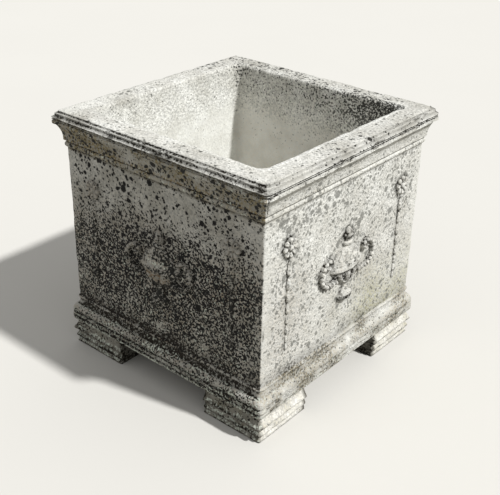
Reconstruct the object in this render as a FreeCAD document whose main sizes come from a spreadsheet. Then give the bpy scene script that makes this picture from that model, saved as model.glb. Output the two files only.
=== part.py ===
"""A square planter of cast stone, as an assembly of its separate pieces.

One casting holds the walls, the floor, the stepped rim and the moulded plinth. It stands on four
block feet, each bedded in mortar and held by a steel dowel. Every face carries an urn, two rosettes
and two strings of husks in low relief.

Millimetres. +Z is up, and the origin is on the ground under the middle of the planter. The front
face looks along -Y.
"""
import FreeCAD
import Part
import Sketcher
import math
import os

SIZES = {
    # Plain wall, and the cavity for the soil
    "wall_width": 398.0,
    "wall_height": 266.5,
    "wall_thickness_top": 30.0,
    "wall_thickness_foot": 42.0,
    "inner_corner_radius": 16.0,
    "lip_rounding": 5.0,
    "floor_thickness": 45.0,
    "drain_diameter": 30.0,
    # Cornice, from the wall up and out to the nose
    "astragal_height": 10.0,
    "astragal_out": 3.9,
    "astragal_gap": 1.5,
    "fillet_height": 4.0,
    "fillet_out": 4.5,
    "cove_height": 22.5,
    "cove_out": 8.0,
    "fascia_height": 5.8,
    "fascia_out": 3.0,
    "quirk_height": 1.6,
    "quirk_depth": 2.0,
    "quirk_ridge": 1.5,
    "nose_height": 2.0,
    "nose_out": 0.5,
    # Two small steps from the nose up and in to the flat of the rim
    "nose_slope_height": 1.5,
    "nose_slope_in": 4.0,
    "step_riser": 4.1,
    "step_slope_height": 0.9,
    "step_slope_in": 4.0,
    "top_riser": 2.5,
    # Plinth, from the underside up; its projections count outwards from the wall
    "base_band_height": 5.5,
    "base_quirk_height": 1.5,
    "base_quirk_depth": 2.0,
    "upper_band_height": 7.0,
    "torus_lip_height": 2.5,
    "torus_height": 12.0,
    "cavetto_height": 9.0,
    "bead_height": 6.0,
    "bead_swell": 1.7,
    "bead_seat_out": 1.8,
    "cavetto_out": 1.7,
    "torus_step_out": 1.0,
    "torus_out": 6.0,
    "band_out": 0.5,
    # Feet: three bands, each flared to a lip and set back under the one above
    "foot_length": 116.5,
    "foot_inset": 0.5,
    "top_band_height": 18.0,
    "top_band_flare": 6.0,
    "middle_band_height": 14.5,
    "middle_band_flare": 5.0,
    "bottom_band_height": 10.5,
    "bottom_band_flare": 3.0,
    "band_set_back": 2.0,
    "band_lip_height": 3.0,
    # Mortar beds and dowels between the feet and the body
    "bed_thickness": 4.0,
    "bed_set_back": 2.0,
    "dowel_diameter": 12.0,
    "dowel_depth": 26.0,
    "dowel_clearance": 0.3,
    # Relief on the faces
    "urn_rise": 70.0,
    "urn_height": 120.0,
    "urn_width": 80.0,
    "urn_relief": 13.0,
    "handle_arm": 19.0,
    "handle_radius": 22.0,
    "curl_radius": 7.0,
    "handle_thickness": 7.5,
    "handle_stand": 6.0,
    "handle_crown": 3.0,
    "drop_edge_margin": 55.5,
    "rosette_top_margin": 56.0,
    "rosette_diameter": 31.0,
    "rosette_relief": 6.0,
    "drop_top_gap": 5.0,
    "drop_foot_margin": 41.0,
    "husk_width": 11.0,
}

# The urn from foot to finial: share of its height, of its half width and of its relief
URN_STATIONS = (
    (0.000, 0.45, 0.75),
    (0.045, 0.45, 0.75),
    (0.085, 0.24, 0.55),
    (0.150, 0.14, 0.32),
    (0.215, 0.14, 0.32),
    (0.240, 0.34, 0.62),
    (0.320, 0.74, 0.88),
    (0.420, 0.94, 0.97),
    (0.455, 1.00, 1.00),
    (0.505, 1.00, 1.00),
    (0.515, 0.90, 0.88),
    (0.620, 0.76, 0.82),
    (0.705, 0.50, 0.70),
    (0.755, 0.24, 0.52),
    (0.770, 0.30, 0.60),
    (0.805, 0.30, 0.60),
    (0.820, 0.18, 0.40),
    (0.900, 0.28, 0.68),
    (0.960, 0.18, 0.40),
    (1.000, 0.04, 0.09),
)

# Where a handle is rooted in the bowl: share of the urn's height, and of its half width
HANDLE_RISE_SHARE = 0.31
HANDLE_ROOT_SHARE = 0.65
# A handle's scroll, in degrees from level: where its arm turns into the curl, and where the curl ends
SCROLL_TURN = 80.0
CURL_END = 330.0

# A rosette's half profile from its middle to its edge: share of its radius and of its relief
ROSETTE_PROFILE = (
    (0.24, 0.95),
    (0.34, 0.55),
    (0.48, 0.50),
    (0.80, 0.85),
    (1.00, 0.50),
)
PETALS = 8
NOTCH_ROOT_SHARE = 0.50
NOTCH_HALF_WIDTH_SHARE = 0.13

# A string of husks: each is this much smaller than the one above, and flares from a neck to a lip
HUSKS = 8
HUSK_RATIO = 0.92
HUSK_NECK_SHARE = 0.35
HUSK_LIP_SHARE = 0.78

CUT_MARGIN = 20.0
NEARLY = 0.01

# The quarter turns from the front, as the way that the front's +X points after each
SIDE_TURNS = {"front": (1, 0), "right": (0, 1), "back": (-1, 0), "left": (0, -1)}
CORNER_SIGNS = {"front_right": (1, -1), "back_right": (1, 1), "back_left": (-1, 1), "front_left": (-1, -1)}
QUARTER_TURN = 90.0


class Length:
    """A length in millimetres, with the sheet expression that gives it."""

    def __init__(self, value, text):
        self.value = value
        self.text = text

    def __add__(self, other):
        return Length(self.value + other.value, f"{self.text} + {other.text}")

    def __sub__(self, other):
        return Length(self.value - other.value, f"{self.text} - ({other.text})")

    def __neg__(self):
        return Length(-self.value, f"-({self.text})")

    def __mul__(self, factor):
        return Length(self.value * factor, f"({self.text}) * {factor:.6f}")


NOTHING = Length(0.0, "0")
MARGIN = Length(CUT_MARGIN, f"{CUT_MARGIN}")


def fill_sheet(doc):
    """Write the driving dimensions into the sheet and return them as lengths."""
    sheet = doc.addObject("Spreadsheet::Sheet", "sizes")
    lengths = {}
    for row, (name, value) in enumerate(SIZES.items(), start=1):
        sheet.set(f"A{row}", name)
        sheet.set(f"B{row}", str(value))
        sheet.setAlias(f"B{row}", name)
        lengths[name] = Length(value, f"sizes.{name}")
    doc.recompute()
    return lengths


def add_up(start, sizes, names):
    """A length with the named sizes added to it."""
    total = start
    for name in names:
        total = total + sizes[name]
    return total


def work_out_levels(s):
    """Heights, and distances from the middle, that more than one piece shares."""
    levels = {}
    levels["foot_top"] = add_up(NOTHING, s, ("top_band_height", "middle_band_height", "bottom_band_height"))
    levels["underside"] = levels["foot_top"] + s["bed_thickness"]
    levels["floor"] = levels["underside"] + s["floor_thickness"]
    levels["wall_foot"] = add_up(levels["underside"], s, (
        "base_band_height", "base_quirk_height", "upper_band_height", "base_quirk_height",
        "torus_lip_height", "torus_height", "cavetto_height", "bead_height"))
    levels["wall_head"] = levels["wall_foot"] + s["wall_height"]
    levels["face"] = s["wall_width"] * 0.5
    levels["base_face"] = add_up(levels["face"], s, (
        "bead_seat_out", "cavetto_out", "torus_step_out", "torus_out", "band_out"))
    levels["foot_lip"] = levels["base_face"] - s["foot_inset"]
    levels["foot_inner"] = levels["foot_lip"] - s["foot_length"]
    levels["foot_head"] = levels["foot_lip"] - s["top_band_flare"]
    levels["dowel_out"] = (levels["foot_inner"] + levels["foot_head"]) * 0.5
    levels["socket_radius"] = s["dowel_diameter"] * 0.5 + s["dowel_clearance"]
    levels["socket_depth"] = s["dowel_depth"] + s["dowel_clearance"]
    levels["drop_out"] = levels["face"] - s["drop_edge_margin"]
    levels["rosette_middle"] = levels["wall_head"] - s["rosette_top_margin"]
    return levels


def add_body(doc, label):
    """A new body with a label of its own."""
    body = doc.addObject("PartDesign::Body", label)
    body.Label = label
    return body


def origin_plane(body, role):
    """One of the body's own origin planes."""
    return next(plane for plane in body.Origin.OriginFeatures if plane.Role == role)


def add_sketch(body, name, role, offset=NOTHING):
    """A sketch on an origin plane of its body, moved along that plane's normal."""
    sketch = body.newObject("Sketcher::SketchObject", name)
    sketch.AttachmentSupport = [(origin_plane(body, role), "")]
    sketch.MapMode = "FlatFace"
    sketch.AttachmentOffset = FreeCAD.Placement(FreeCAD.Vector(0, 0, offset.value), FreeCAD.Rotation())
    sketch.setExpression("AttachmentOffset.Base.z", offset.text)
    return sketch


def add_rules(sketch, rules):
    """Add constraints to a sketch, and bind each one that has a length to the sheet."""
    made = sketch.addConstraint([
        Sketcher.Constraint(*rule) if length is None else Sketcher.Constraint(*rule, length.value)
        for rule, length in rules
    ])
    for index, (_, length) in zip(made, rules):
        if length is not None:
            sketch.setExpression(f"Constraints[{index}]", length.text)


def place_rules(edge, end, across, up):
    """Rules that hold one end of an edge at a place in the sketch."""
    return [(("DistanceX", -1, 1, edge, end), across), (("DistanceY", -1, 1, edge, end), up)]


def arc_between(first, second, centre):
    """The short arc about a centre, and which of its ends lie on the first and second points."""
    start, end = first - centre, second - centre
    turns_left = start.x * end.y - start.y * end.x > 0.0
    if not turns_left:
        start, end = end, start
    circle = Part.Circle(centre, FreeCAD.Vector(0, 0, 1), start.Length)
    arc = Part.ArcOfCircle(circle, math.atan2(start.y, start.x), math.atan2(end.y, end.x))
    return arc, (1, 2) if turns_left else (2, 1)


def level_centre(level, other):
    """Centre of the arc through two points that runs upright where it meets the first."""
    across, up = other.x - level.x, other.y - level.y
    return FreeCAD.Vector(level.x + (across ** 2 + up ** 2) / (2.0 * across), level.y, 0)


def swelling_centre(first, second, radius):
    """Centre of the arc of a given radius that swells to the right of the way it runs."""
    chord = second - first
    sink = math.sqrt(radius ** 2 - (chord.Length / 2.0) ** 2)
    left = FreeCAD.Vector(-chord.y, chord.x, 0).normalize()
    return (first + second) * 0.5 + left * sink


def swell_radius(half_chord, rise):
    """Radius of the arc that rises so far above a chord."""
    value = (half_chord.value ** 2 + rise.value ** 2) / (2.0 * rise.value)
    chord, height = f"({half_chord.text})", f"({rise.text})"
    return Length(value, f"({chord} * {chord} + {height} * {height}) / (2 * {height})")


def draw_edge(first, second, run):
    """One edge of an outline, and which of its ends lie on the first and second points."""
    if run is None:
        return Part.LineSegment(first, second), (1, 2)
    if run == "start":
        return arc_between(first, second, level_centre(first, second))
    if run == "end":
        return arc_between(first, second, level_centre(second, first))
    return arc_between(first, second, swelling_centre(first, second, run.value))


def draw_outline(sketch, corners):
    """Draw a closed outline and tie every corner to the sheet.

    A corner is (across, up, run). The run is None for a straight edge to the next corner,
    "start" or "end" for an arc that is upright at that end, or the radius of a swelling arc.
    """
    points = [FreeCAD.Vector(across.value, up.value, 0) for across, up, _ in corners]
    following = [*points[1:], points[0]]
    drawn = [draw_edge(here, there, run) for here, there, (_, _, run) in zip(points, following, corners)]
    numbers = sketch.addGeometry([edge for edge, _ in drawn], False)
    edges = [(number, ends) for number, (_, ends) in zip(numbers, drawn)]
    rules = []
    for (edge, ends), (next_edge, next_ends), (across, up, run) in zip(edges, [*edges[1:], edges[0]], corners):
        rules.append((("Coincident", edge, ends[1], next_edge, next_ends[0]), None))
        rules.extend(place_rules(edge, ends[0], across, up))
        if run in ("start", "end"):
            upright_end = ends[0] if run == "start" else ends[1]
            rules.append((("Horizontal", edge, 3, edge, upright_end), None))
        elif run is not None:
            rules.append((("Radius", edge), run))
    add_rules(sketch, rules)


def draw_circle(sketch, across, up, radius):
    """Draw a circle and tie its centre and radius to the sheet."""
    centre = FreeCAD.Vector(across.value, up.value, 0)
    circle = sketch.addGeometry(Part.Circle(centre, FreeCAD.Vector(0, 0, 1), radius.value), False)
    add_rules(sketch, [*place_rules(circle, 3, across, up), (("Radius", circle), radius)])


def draw_axis(sketch, across, up, length):
    """Draw a construction line up from a point, for a turned form or a pattern to turn about."""
    foot = FreeCAD.Vector(across.value, up.value, 0)
    head = FreeCAD.Vector(across.value, up.value + length.value, 0)
    line = sketch.addGeometry(Part.LineSegment(foot, head), True)
    add_rules(sketch, [*place_rules(line, 1, across, up), *place_rules(line, 2, across, up + length)])
    return sketch, ["Axis0"]


def draw_scroll(sketch, root, low, out, radius, curl):
    """Draw a scroll: out along a line, up round an arc, and in round a tighter arc that it runs into."""
    corner = FreeCAD.Vector(out.value, low.value, 0)
    middle = corner + FreeCAD.Vector(0, radius.value, 0)
    turn, end = math.radians(SCROLL_TURN), math.radians(CURL_END)
    heading = FreeCAD.Vector(math.cos(turn), math.sin(turn), 0)
    eye = middle + heading * (radius.value - curl.value)
    up = FreeCAD.Vector(0, 0, 1)
    line, arm, tip = sketch.addGeometry([
        Part.LineSegment(FreeCAD.Vector(root.value, low.value, 0), corner),
        Part.ArcOfCircle(Part.Circle(middle, up, radius.value), -math.pi / 2.0, turn),
        Part.ArcOfCircle(Part.Circle(eye, up, curl.value), turn, end),
    ], False)
    turn_up = low + radius + radius * math.sin(turn)
    eye_out = out + (radius - curl) * math.cos(turn)
    eye_up = low + radius + (radius - curl) * math.sin(turn)
    add_rules(sketch, [
        *place_rules(line, 1, root, low),
        *place_rules(line, 2, out, low),
        (("Coincident", line, 2, arm, 1), None),
        *place_rules(arm, 3, out, low + radius),
        (("DistanceY", -1, 1, arm, 2), turn_up),
        (("Coincident", arm, 2, tip, 1), None),
        *place_rules(tip, 3, eye_out, eye_up),
        (("DistanceY", -1, 1, tip, 2), eye_up + curl * math.sin(end)),
    ])


def draw_relief_section(sketch, across, half_width, face, relief):
    """A low arch on the front wall, seen in plan: flat against the wall, round to the front."""
    radius = swell_radius(half_width, relief)
    draw_outline(sketch, [(across - half_width, -face, radius), (across + half_width, -face, None)])


def mirrored(corners):
    """The same run of corners on the other side of the middle line, in the opposite order."""
    turned = {"start": "end", "end": "start"}
    runs = [turned.get(run, run) for _, _, run in reversed(corners[:-1])]
    places = [(-across, up) for across, up, _ in reversed(corners)]
    return [(across, up, run) for (across, up), run in zip(places, [*runs, None])]


def add_feature(body, kind, name, sketch, **settings):
    """Add a feature made from a sketch, with its lengths bound to the sheet."""
    feature = body.newObject(f"PartDesign::{kind}", name)
    feature.Profile = sketch
    for key, value in settings.items():
        if isinstance(value, Length):
            setattr(feature, key, value.value)
            feature.setExpression(key, value.text)
        else:
            setattr(feature, key, value)
    body.Document.recompute()
    return feature


def add_cut(body, kind, name, sketch, **settings):
    """Add a cutting feature, and make sure that it takes some stone away."""
    before = body.Shape.Volume
    feature = add_feature(body, kind, name, sketch, **settings)
    if body.Shape.Volume >= before:
        raise RuntimeError(f"{body.Label}: {name} cuts nothing")
    return feature


def turn_to_side(piece, side):
    """Turn a piece that is made for the front about the planter's middle."""
    angle = list(SIDE_TURNS).index(side) * QUARTER_TURN
    piece.Placement = FreeCAD.Placement(FreeCAD.Vector(), FreeCAD.Rotation(FreeCAD.Vector(0, 0, 1), angle))


def set_copy(pattern, label, side, across=NOTHING):
    """Set a copy of a piece on one side of the planter, moved along that side."""
    copy = pattern.Document.addObject("Part::Compound", label)
    copy.Label = label
    copy.Links = [pattern]
    turn_to_side(copy, side)
    for axis, share in zip("xy", SIDE_TURNS[side]):
        copy.setExpression(f"Placement.Base.{axis}", (across * share).text)
    return copy


def body_profile(s, levels):
    """The moulded profile of the body's side, from its underside to the flat of its rim."""
    face, band = levels["face"], levels["base_face"]
    bead_seat = face + s["bead_seat_out"]
    cavetto = bead_seat + s["cavetto_out"]
    torus_head = cavetto + s["torus_step_out"]
    torus = torus_head + s["torus_out"]
    base_groove = band - s["base_quirk_depth"]
    fillet = face + s["fillet_out"]
    cove_head = fillet + s["cove_out"]
    fascia = cove_head + s["fascia_out"]
    groove = fascia - s["quirk_depth"]
    nose = fascia + s["nose_out"]
    step = nose - s["nose_slope_in"]
    flat = step - s["step_slope_in"]
    bead = swell_radius(s["bead_height"] * 0.5, s["bead_swell"])
    astragal = swell_radius(s["astragal_height"] * 0.5, s["astragal_out"])

    # Each entry goes up by the named size, or not at all, and then out to a distance from the middle
    steps = (
        (None, band, None),
        ("base_band_height", band, None),
        (None, base_groove, None),
        ("base_quirk_height", base_groove, None),
        (None, band, None),
        ("upper_band_height", band, None),
        (None, base_groove, None),
        ("base_quirk_height", base_groove, None),
        (None, torus, None),
        ("torus_lip_height", torus, "start"),
        ("torus_height", torus_head, None),
        (None, cavetto, "end"),
        ("cavetto_height", bead_seat, bead),
        ("bead_height", bead_seat, None),
        (None, face, None),
        ("wall_height", face, astragal),
        ("astragal_height", face, None),
        ("astragal_gap", face, None),
        (None, fillet, None),
        ("fillet_height", fillet, "start"),
        ("cove_height", cove_head, None),
        (None, fascia, None),
        ("fascia_height", fascia, None),
        (None, groove, None),
        ("quirk_height", groove, None),
        (None, fascia, None),
        ("quirk_ridge", fascia, None),
        (None, groove, None),
        ("quirk_height", groove, None),
        (None, nose, None),
        ("nose_height", nose, None),
        ("nose_slope_height", step, None),
        ("step_riser", step, None),
        ("step_slope_height", flat, None),
        ("top_riser", flat, None),
    )
    corners = []
    height = levels["underside"]
    for rise, across, run in steps:
        height = height if rise is None else height + s[rise]
        corners.append((across, height, run))
    return corners


def foot_profile(s, levels):
    """The banded profile of a foot's outer side, from the ground to its top."""
    top_lip = levels["foot_lip"]
    middle_lip = top_lip - s["band_set_back"]
    bottom_lip = middle_lip - s["band_set_back"]
    corners = []
    height = NOTHING
    for lip, band in ((bottom_lip, "bottom_band"), (middle_lip, "middle_band"), (top_lip, "top_band")):
        corners.append((lip, height, None))
        corners.append((lip, height + s["band_lip_height"], "end"))
        height = height + s[f"{band}_height"]
        corners.append((lip - s[f"{band}_flare"], height, None))
    return corners


def furthest_out(profile):
    """The distance from the middle to the part of a profile that stands out most."""
    return max((across for across, _, _ in profile), key=lambda across: across.value)


def side_waste(profile):
    """Outline of the waste beyond a profile that runs from bottom to top."""
    (bottom_out, bottom, _), (top_out, top, _) = profile[0], profile[-1]
    reach = furthest_out(profile) + MARGIN
    below, above = bottom - MARGIN, top + MARGIN
    beyond = [(top_out, above, None), (reach, above, None), (reach, below, None), (bottom_out, below, None)]
    return [*profile, *beyond]


def far_side(outline):
    """A closed outline on the other side of the middle line."""
    return mirrored([*outline, outline[0]])[:-1]


def rounded_square(half, radius):
    """Corners of a square with round corners, about the middle."""
    flat = half - radius
    return [
        (half, -flat, None), (half, flat, "start"),
        (flat, half, None), (-flat, half, "end"),
        (-half, flat, None), (-half, -flat, "start"),
        (-flat, -half, None), (flat, -half, "end"),
    ]


def make_planter_body(doc, s, levels):
    """The casting: a block with the moulded profile on all four sides, then its cavity and holes."""
    body = add_body(doc, "planter_body")
    profile = body_profile(s, levels)
    top = profile[-1][1]
    span = (furthest_out(profile) + MARGIN) * 2.0

    front = add_sketch(body, "front_outline", "XZ_Plane")
    draw_outline(front, [*profile, *mirrored(profile)])
    add_feature(body, "Pad", "moulded_block", front, SideType="Symmetric", Length=span)
    sides = add_sketch(body, "side_waste", "YZ_Plane")
    waste = side_waste(profile)
    draw_outline(sides, waste)
    draw_outline(sides, far_side(waste))
    add_cut(body, "Pocket", "mitred_sides", sides, SideType="Symmetric", Length=span)

    mouth = add_sketch(body, "cavity_mouth", "XY_Plane", top)
    mouth_half = levels["face"] - s["wall_thickness_top"]
    draw_outline(mouth, rounded_square(mouth_half, s["inner_corner_radius"]))
    bottom = add_sketch(body, "cavity_floor", "XY_Plane", levels["floor"])
    draw_outline(bottom, rounded_square(levels["face"] - s["wall_thickness_foot"], s["inner_corner_radius"]))
    add_cut(body, "SubtractiveLoft", "cavity", mouth, Sections=[bottom], Ruled=True)

    drain = add_sketch(body, "drain_outline", "XY_Plane", levels["floor"])
    draw_circle(drain, NOTHING, NOTHING, s["drain_diameter"] * 0.5)
    add_cut(body, "Pocket", "drain", drain, Length=s["floor_thickness"])
    sockets = add_sketch(body, "socket_outlines", "XY_Plane", levels["underside"])
    for x_sign, y_sign in CORNER_SIGNS.values():
        draw_circle(sockets, levels["dowel_out"] * x_sign, levels["dowel_out"] * y_sign, levels["socket_radius"])
    drilled = add_cut(body, "Pocket", "dowel_sockets", sockets, Reversed=True, Length=levels["socket_depth"])
    round_lip(body, drilled, top, mouth_half, s["lip_rounding"])
    return body


def round_lip(body, drilled, top, mouth_half, rounding):
    """Round the edge of the mouth, all the way round."""
    names = []
    for number, edge in enumerate(drilled.Shape.Edges, start=1):
        box = edge.BoundBox
        reach = max(abs(side) for side in (box.XMin, box.XMax, box.YMin, box.YMax))
        if box.ZMin > top.value - NEARLY and reach < mouth_half.value + NEARLY:
            names.append(f"Edge{number}")
    lip = body.newObject("PartDesign::Fillet", "lip")
    lip.Base = (drilled, names)
    lip.Radius = rounding.value
    lip.setExpression("Radius", rounding.text)
    body.Document.recompute()


def make_foot(doc, s, levels):
    """The front right foot: a block with bands on its two outer sides and a socket in its top."""
    body = add_body(doc, "foot_front_right")
    profile = foot_profile(s, levels)
    inner, top = levels["foot_inner"], levels["foot_top"]
    bands = add_sketch(body, "front_bands", "XZ_Plane", inner)
    draw_outline(bands, [*profile, (inner, top, None), (inner, NOTHING, None)])
    add_feature(body, "Pad", "block", bands, Length=s["foot_length"] + MARGIN)
    sides = add_sketch(body, "side_waste", "YZ_Plane")
    draw_outline(sides, far_side(side_waste(profile)))
    span = (levels["foot_lip"] + MARGIN) * 2.0
    add_cut(body, "Pocket", "side_bands", sides, SideType="Symmetric", Length=span)
    socket = add_sketch(body, "socket_outline", "XY_Plane", top)
    draw_circle(socket, levels["dowel_out"], -levels["dowel_out"], levels["socket_radius"])
    add_cut(body, "Pocket", "dowel_socket", socket, Length=levels["socket_depth"])
    return body


def make_mortar_bed(doc, s, levels):
    """The mortar joint over the front right foot, raked back from the foot's edges."""
    body = add_body(doc, "mortar_bed_front_right")
    near = levels["foot_inner"] + s["bed_set_back"]
    far = levels["foot_head"] - s["bed_set_back"]
    joint = add_sketch(body, "joint_outline", "XY_Plane", levels["foot_top"])
    draw_outline(joint, [(near, -far, None), (far, -far, None), (far, -near, None), (near, -near, None)])
    draw_circle(joint, levels["dowel_out"], -levels["dowel_out"], levels["socket_radius"])
    add_feature(body, "Pad", "joint", joint, Length=s["bed_thickness"])
    return body


def make_foot_dowels(doc, s, levels):
    """Four upright steel dowels, one through each mortar bed."""
    dowels = []
    for corner, (x_sign, y_sign) in CORNER_SIGNS.items():
        dowel = doc.addObject("Part::Cylinder", f"dowel_{corner}")
        dowel.setExpression("Radius", (s["dowel_diameter"] * 0.5).text)
        dowel.setExpression("Height", (s["dowel_depth"] * 2.0 + s["bed_thickness"]).text)
        dowel.setExpression("Placement.Base.x", (levels["dowel_out"] * x_sign).text)
        dowel.setExpression("Placement.Base.y", (levels["dowel_out"] * y_sign).text)
        dowel.setExpression("Placement.Base.z", (levels["foot_top"] - s["dowel_depth"]).text)
        dowels.append(dowel)
    group = doc.addObject("Part::Compound", "foot_dowels")
    group.Label = "foot_dowels"
    group.Links = dowels
    return group


def make_urn(doc, s, levels):
    """The front's covered urn: arched sections lofted from foot to finial, and two scroll handles."""
    body = add_body(doc, "urn_front")
    face, foot = levels["face"], levels["wall_foot"] + s["urn_rise"]
    sections = []
    for number, (rise, width, relief) in enumerate(URN_STATIONS):
        section = add_sketch(body, f"section_{number}", "XY_Plane", foot + s["urn_height"] * rise)
        draw_relief_section(section, NOTHING, s["urn_width"] * (0.5 * width), face, s["urn_relief"] * relief)
        sections.append(section)
    add_feature(body, "AdditiveLoft", "urn_form", sections[0], Sections=sections[1:], Ruled=True)

    root, low = s["urn_width"] * (0.5 * HANDLE_ROOT_SHARE), foot + s["urn_height"] * HANDLE_RISE_SHARE
    section = add_sketch(body, "handle_section", "YZ_Plane", root)
    half = s["handle_thickness"] * 0.5
    crown = face + s["handle_stand"]
    draw_outline(section, [
        (-face, low + half, None), (-crown, low + half, swell_radius(half, s["handle_crown"])),
        (-crown, low - half, None), (-face, low - half, None),
    ])
    path = add_sketch(body, "handle_path", "XZ_Plane", face)
    draw_scroll(path, root, low, root + s["handle_arm"], s["handle_radius"], s["curl_radius"])
    handle = add_feature(body, "AdditivePipe", "handle", section, Spine=path)
    pair = body.newObject("PartDesign::Mirrored", "handles")
    pair.Originals = [handle]
    pair.MirrorPlane = (origin_plane(body, "YZ_Plane"), [""])
    body.Tip = pair
    return body


def make_rosette(doc, s, levels):
    """A rosette in the middle of the front: a turned flower with notches cut between its petals."""
    body = add_body(doc, "rosette_pattern")
    face, relief, height = levels["face"], s["rosette_relief"], levels["rosette_middle"]
    radius = s["rosette_diameter"] * 0.5
    turned = add_sketch(body, "turned_profile", "XY_Plane", height)
    petal = [(radius * out, -(face + relief * proud), None) for out, proud in ROSETTE_PROFILE]
    crown, back = (NOTHING, -(face + relief), None), (NOTHING, -face, None)
    draw_outline(turned, [back, crown, *petal, (radius, -face, None)])
    axis = draw_axis(turned, NOTHING, -(face + relief), relief)
    add_feature(body, "Revolution", "flower", turned, ReferenceAxis=axis, Angle=360.0)

    notch = add_sketch(body, "notch_outline", "XZ_Plane", face + relief)
    half = radius * NOTCH_HALF_WIDTH_SHARE
    root, reach = radius * NOTCH_ROOT_SHARE, radius + half
    draw_outline(notch, [(root, height, None), (reach, height - half, None), (reach, height + half, None)])
    cut = add_cut(body, "Pocket", "notch", notch, Length=relief)
    ring = body.newObject("PartDesign::PolarPattern", "notches")
    ring.Originals = [cut]
    ring.Axis = axis
    ring.Angle = 360.0
    ring.Occurrences = PETALS
    body.Tip = ring
    return body


def make_husk_drop(doc, s, levels):
    """A string of husks in the middle of the front, smaller downwards and half turned from the wall."""
    body = add_body(doc, "husk_drop_pattern")
    top = levels["rosette_middle"] - s["rosette_diameter"] * 0.5 - s["drop_top_gap"]
    bottom = levels["wall_foot"] + s["drop_foot_margin"]
    drop = top - bottom
    first_share = (1.0 - HUSK_RATIO) / (1.0 - HUSK_RATIO ** HUSKS)
    outline = [(NOTHING, bottom, None)]
    below = 0.0
    for number in reversed(range(HUSKS)):
        radius = s["husk_width"] * (0.5 * HUSK_RATIO ** number)
        share = first_share * HUSK_RATIO ** number
        outline.append((radius * HUSK_NECK_SHARE, bottom + drop * below, None))
        outline.append((radius, bottom + drop * (below + share * (1.0 - HUSK_LIP_SHARE)), None))
        below += share
    outline.append((s["husk_width"] * (0.5 * HUSK_NECK_SHARE), top, None))
    outline.append((NOTHING, top, None))
    string = add_sketch(body, "string_profile", "XZ_Plane", levels["face"])
    draw_outline(string, outline)
    axis = draw_axis(string, NOTHING, bottom, drop)
    add_feature(body, "Revolution", "string", string, ReferenceAxis=axis, Angle=180.0, Reversed=True)
    return body


def check_document(doc, pieces):
    """Stop if any object failed, or a piece has no sound solid."""
    doc.recompute()
    for item in doc.Objects:
        if "Invalid" in item.State or "Error" in item.State:
            raise RuntimeError(f"{item.Label} failed: {item.State}")
    for piece in pieces:
        shape = piece.Shape
        if shape.isNull() or not shape.isValid() or not shape.Solids:
            raise RuntimeError(f"{piece.Label} has no sound solid")


def main():
    """Build every piece, check the document and write one file for each piece."""
    doc = FreeCAD.newDocument("planter")
    s = fill_sheet(doc)
    levels = work_out_levels(s)
    foot, bed = make_foot(doc, s, levels), make_mortar_bed(doc, s, levels)
    urn = make_urn(doc, s, levels)
    rosette, husk_drop = make_rosette(doc, s, levels), make_husk_drop(doc, s, levels)

    pieces = [make_planter_body(doc, s, levels), make_foot_dowels(doc, s, levels), foot, bed, urn]
    for side, corner in list(zip(SIDE_TURNS, CORNER_SIGNS))[1:]:
        pieces.append(set_copy(foot, f"foot_{corner}", side))
        pieces.append(set_copy(bed, f"mortar_bed_{corner}", side))
        pieces.append(set_copy(urn, f"urn_{side}", side))
    for side in SIDE_TURNS:
        for hand, across in (("left", -levels["drop_out"]), ("right", levels["drop_out"])):
            pieces.append(set_copy(rosette, f"rosette_{side}_{hand}", side, across))
            pieces.append(set_copy(husk_drop, f"husk_drop_{side}_{hand}", side, across))
    check_document(doc, pieces)
    os.makedirs("parts", exist_ok=True)
    for piece in pieces:
        piece.Shape.exportStep(f"parts/{piece.Label}.step")
        print(f"{piece.Label}: {len(piece.Shape.Solids)} solid, {piece.Shape.Volume / 1000.0:.1f} cm3")


main()
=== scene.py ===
"""Looks for a square planter of weathered cast stone: its worn surfaces, finishes, studio and camera."""

import logging
from dataclasses import astuple, dataclass, field
from enum import Enum
from itertools import product

import bpy
import numpy as np
from mathutils import Matrix


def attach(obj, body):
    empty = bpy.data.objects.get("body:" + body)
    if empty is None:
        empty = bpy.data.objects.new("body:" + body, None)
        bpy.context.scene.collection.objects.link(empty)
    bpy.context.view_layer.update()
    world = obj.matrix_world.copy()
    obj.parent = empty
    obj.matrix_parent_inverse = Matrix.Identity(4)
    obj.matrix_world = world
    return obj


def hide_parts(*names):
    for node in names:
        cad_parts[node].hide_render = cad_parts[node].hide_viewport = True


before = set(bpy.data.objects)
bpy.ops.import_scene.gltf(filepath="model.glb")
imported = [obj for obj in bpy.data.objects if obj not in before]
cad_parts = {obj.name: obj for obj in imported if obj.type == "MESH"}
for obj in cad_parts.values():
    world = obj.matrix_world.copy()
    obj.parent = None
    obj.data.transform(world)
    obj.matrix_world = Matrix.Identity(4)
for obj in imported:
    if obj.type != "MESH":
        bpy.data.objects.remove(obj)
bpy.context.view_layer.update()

Tree, Socket, Material = bpy.types.NodeTree, bpy.types.NodeSocket, bpy.types.Material
Amount = float | np.ndarray
Place = tuple[float, float]

LOG = logging.getLogger("planter")
MILLIMETRE = 0.001
# Half the width between opposite walls, and how far an ornament's back lies inside the wall, in millimetres
FACE = 199.0
SEAT = 1.5
# A corner of a section that turns by less than this stays as it is
SLIGHT_TURN = np.radians(20.0)
# Points of a section that are nearer than this are one, in millimetres
SAME_PLACE = 1e-4
# The least length that anything is divided by
TINY = 1e-9
# A Mix node's sockets when it blends colours: its share, the two colours and the result
SHARE, UNDER, OVER, BLEND = 0, 6, 7, 2


class Side(Enum):
    """A face of the planter, as quarter turns from the front."""

    FRONT = 0
    RIGHT = 1
    BACK = 2
    LEFT = 3


class Corner(Enum):
    """A corner of the planter, as the signs of its place across and along."""

    FRONT_RIGHT = (1, -1)
    BACK_RIGHT = (1, 1)
    BACK_LEFT = (-1, 1)
    FRONT_LEFT = (-1, -1)


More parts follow.
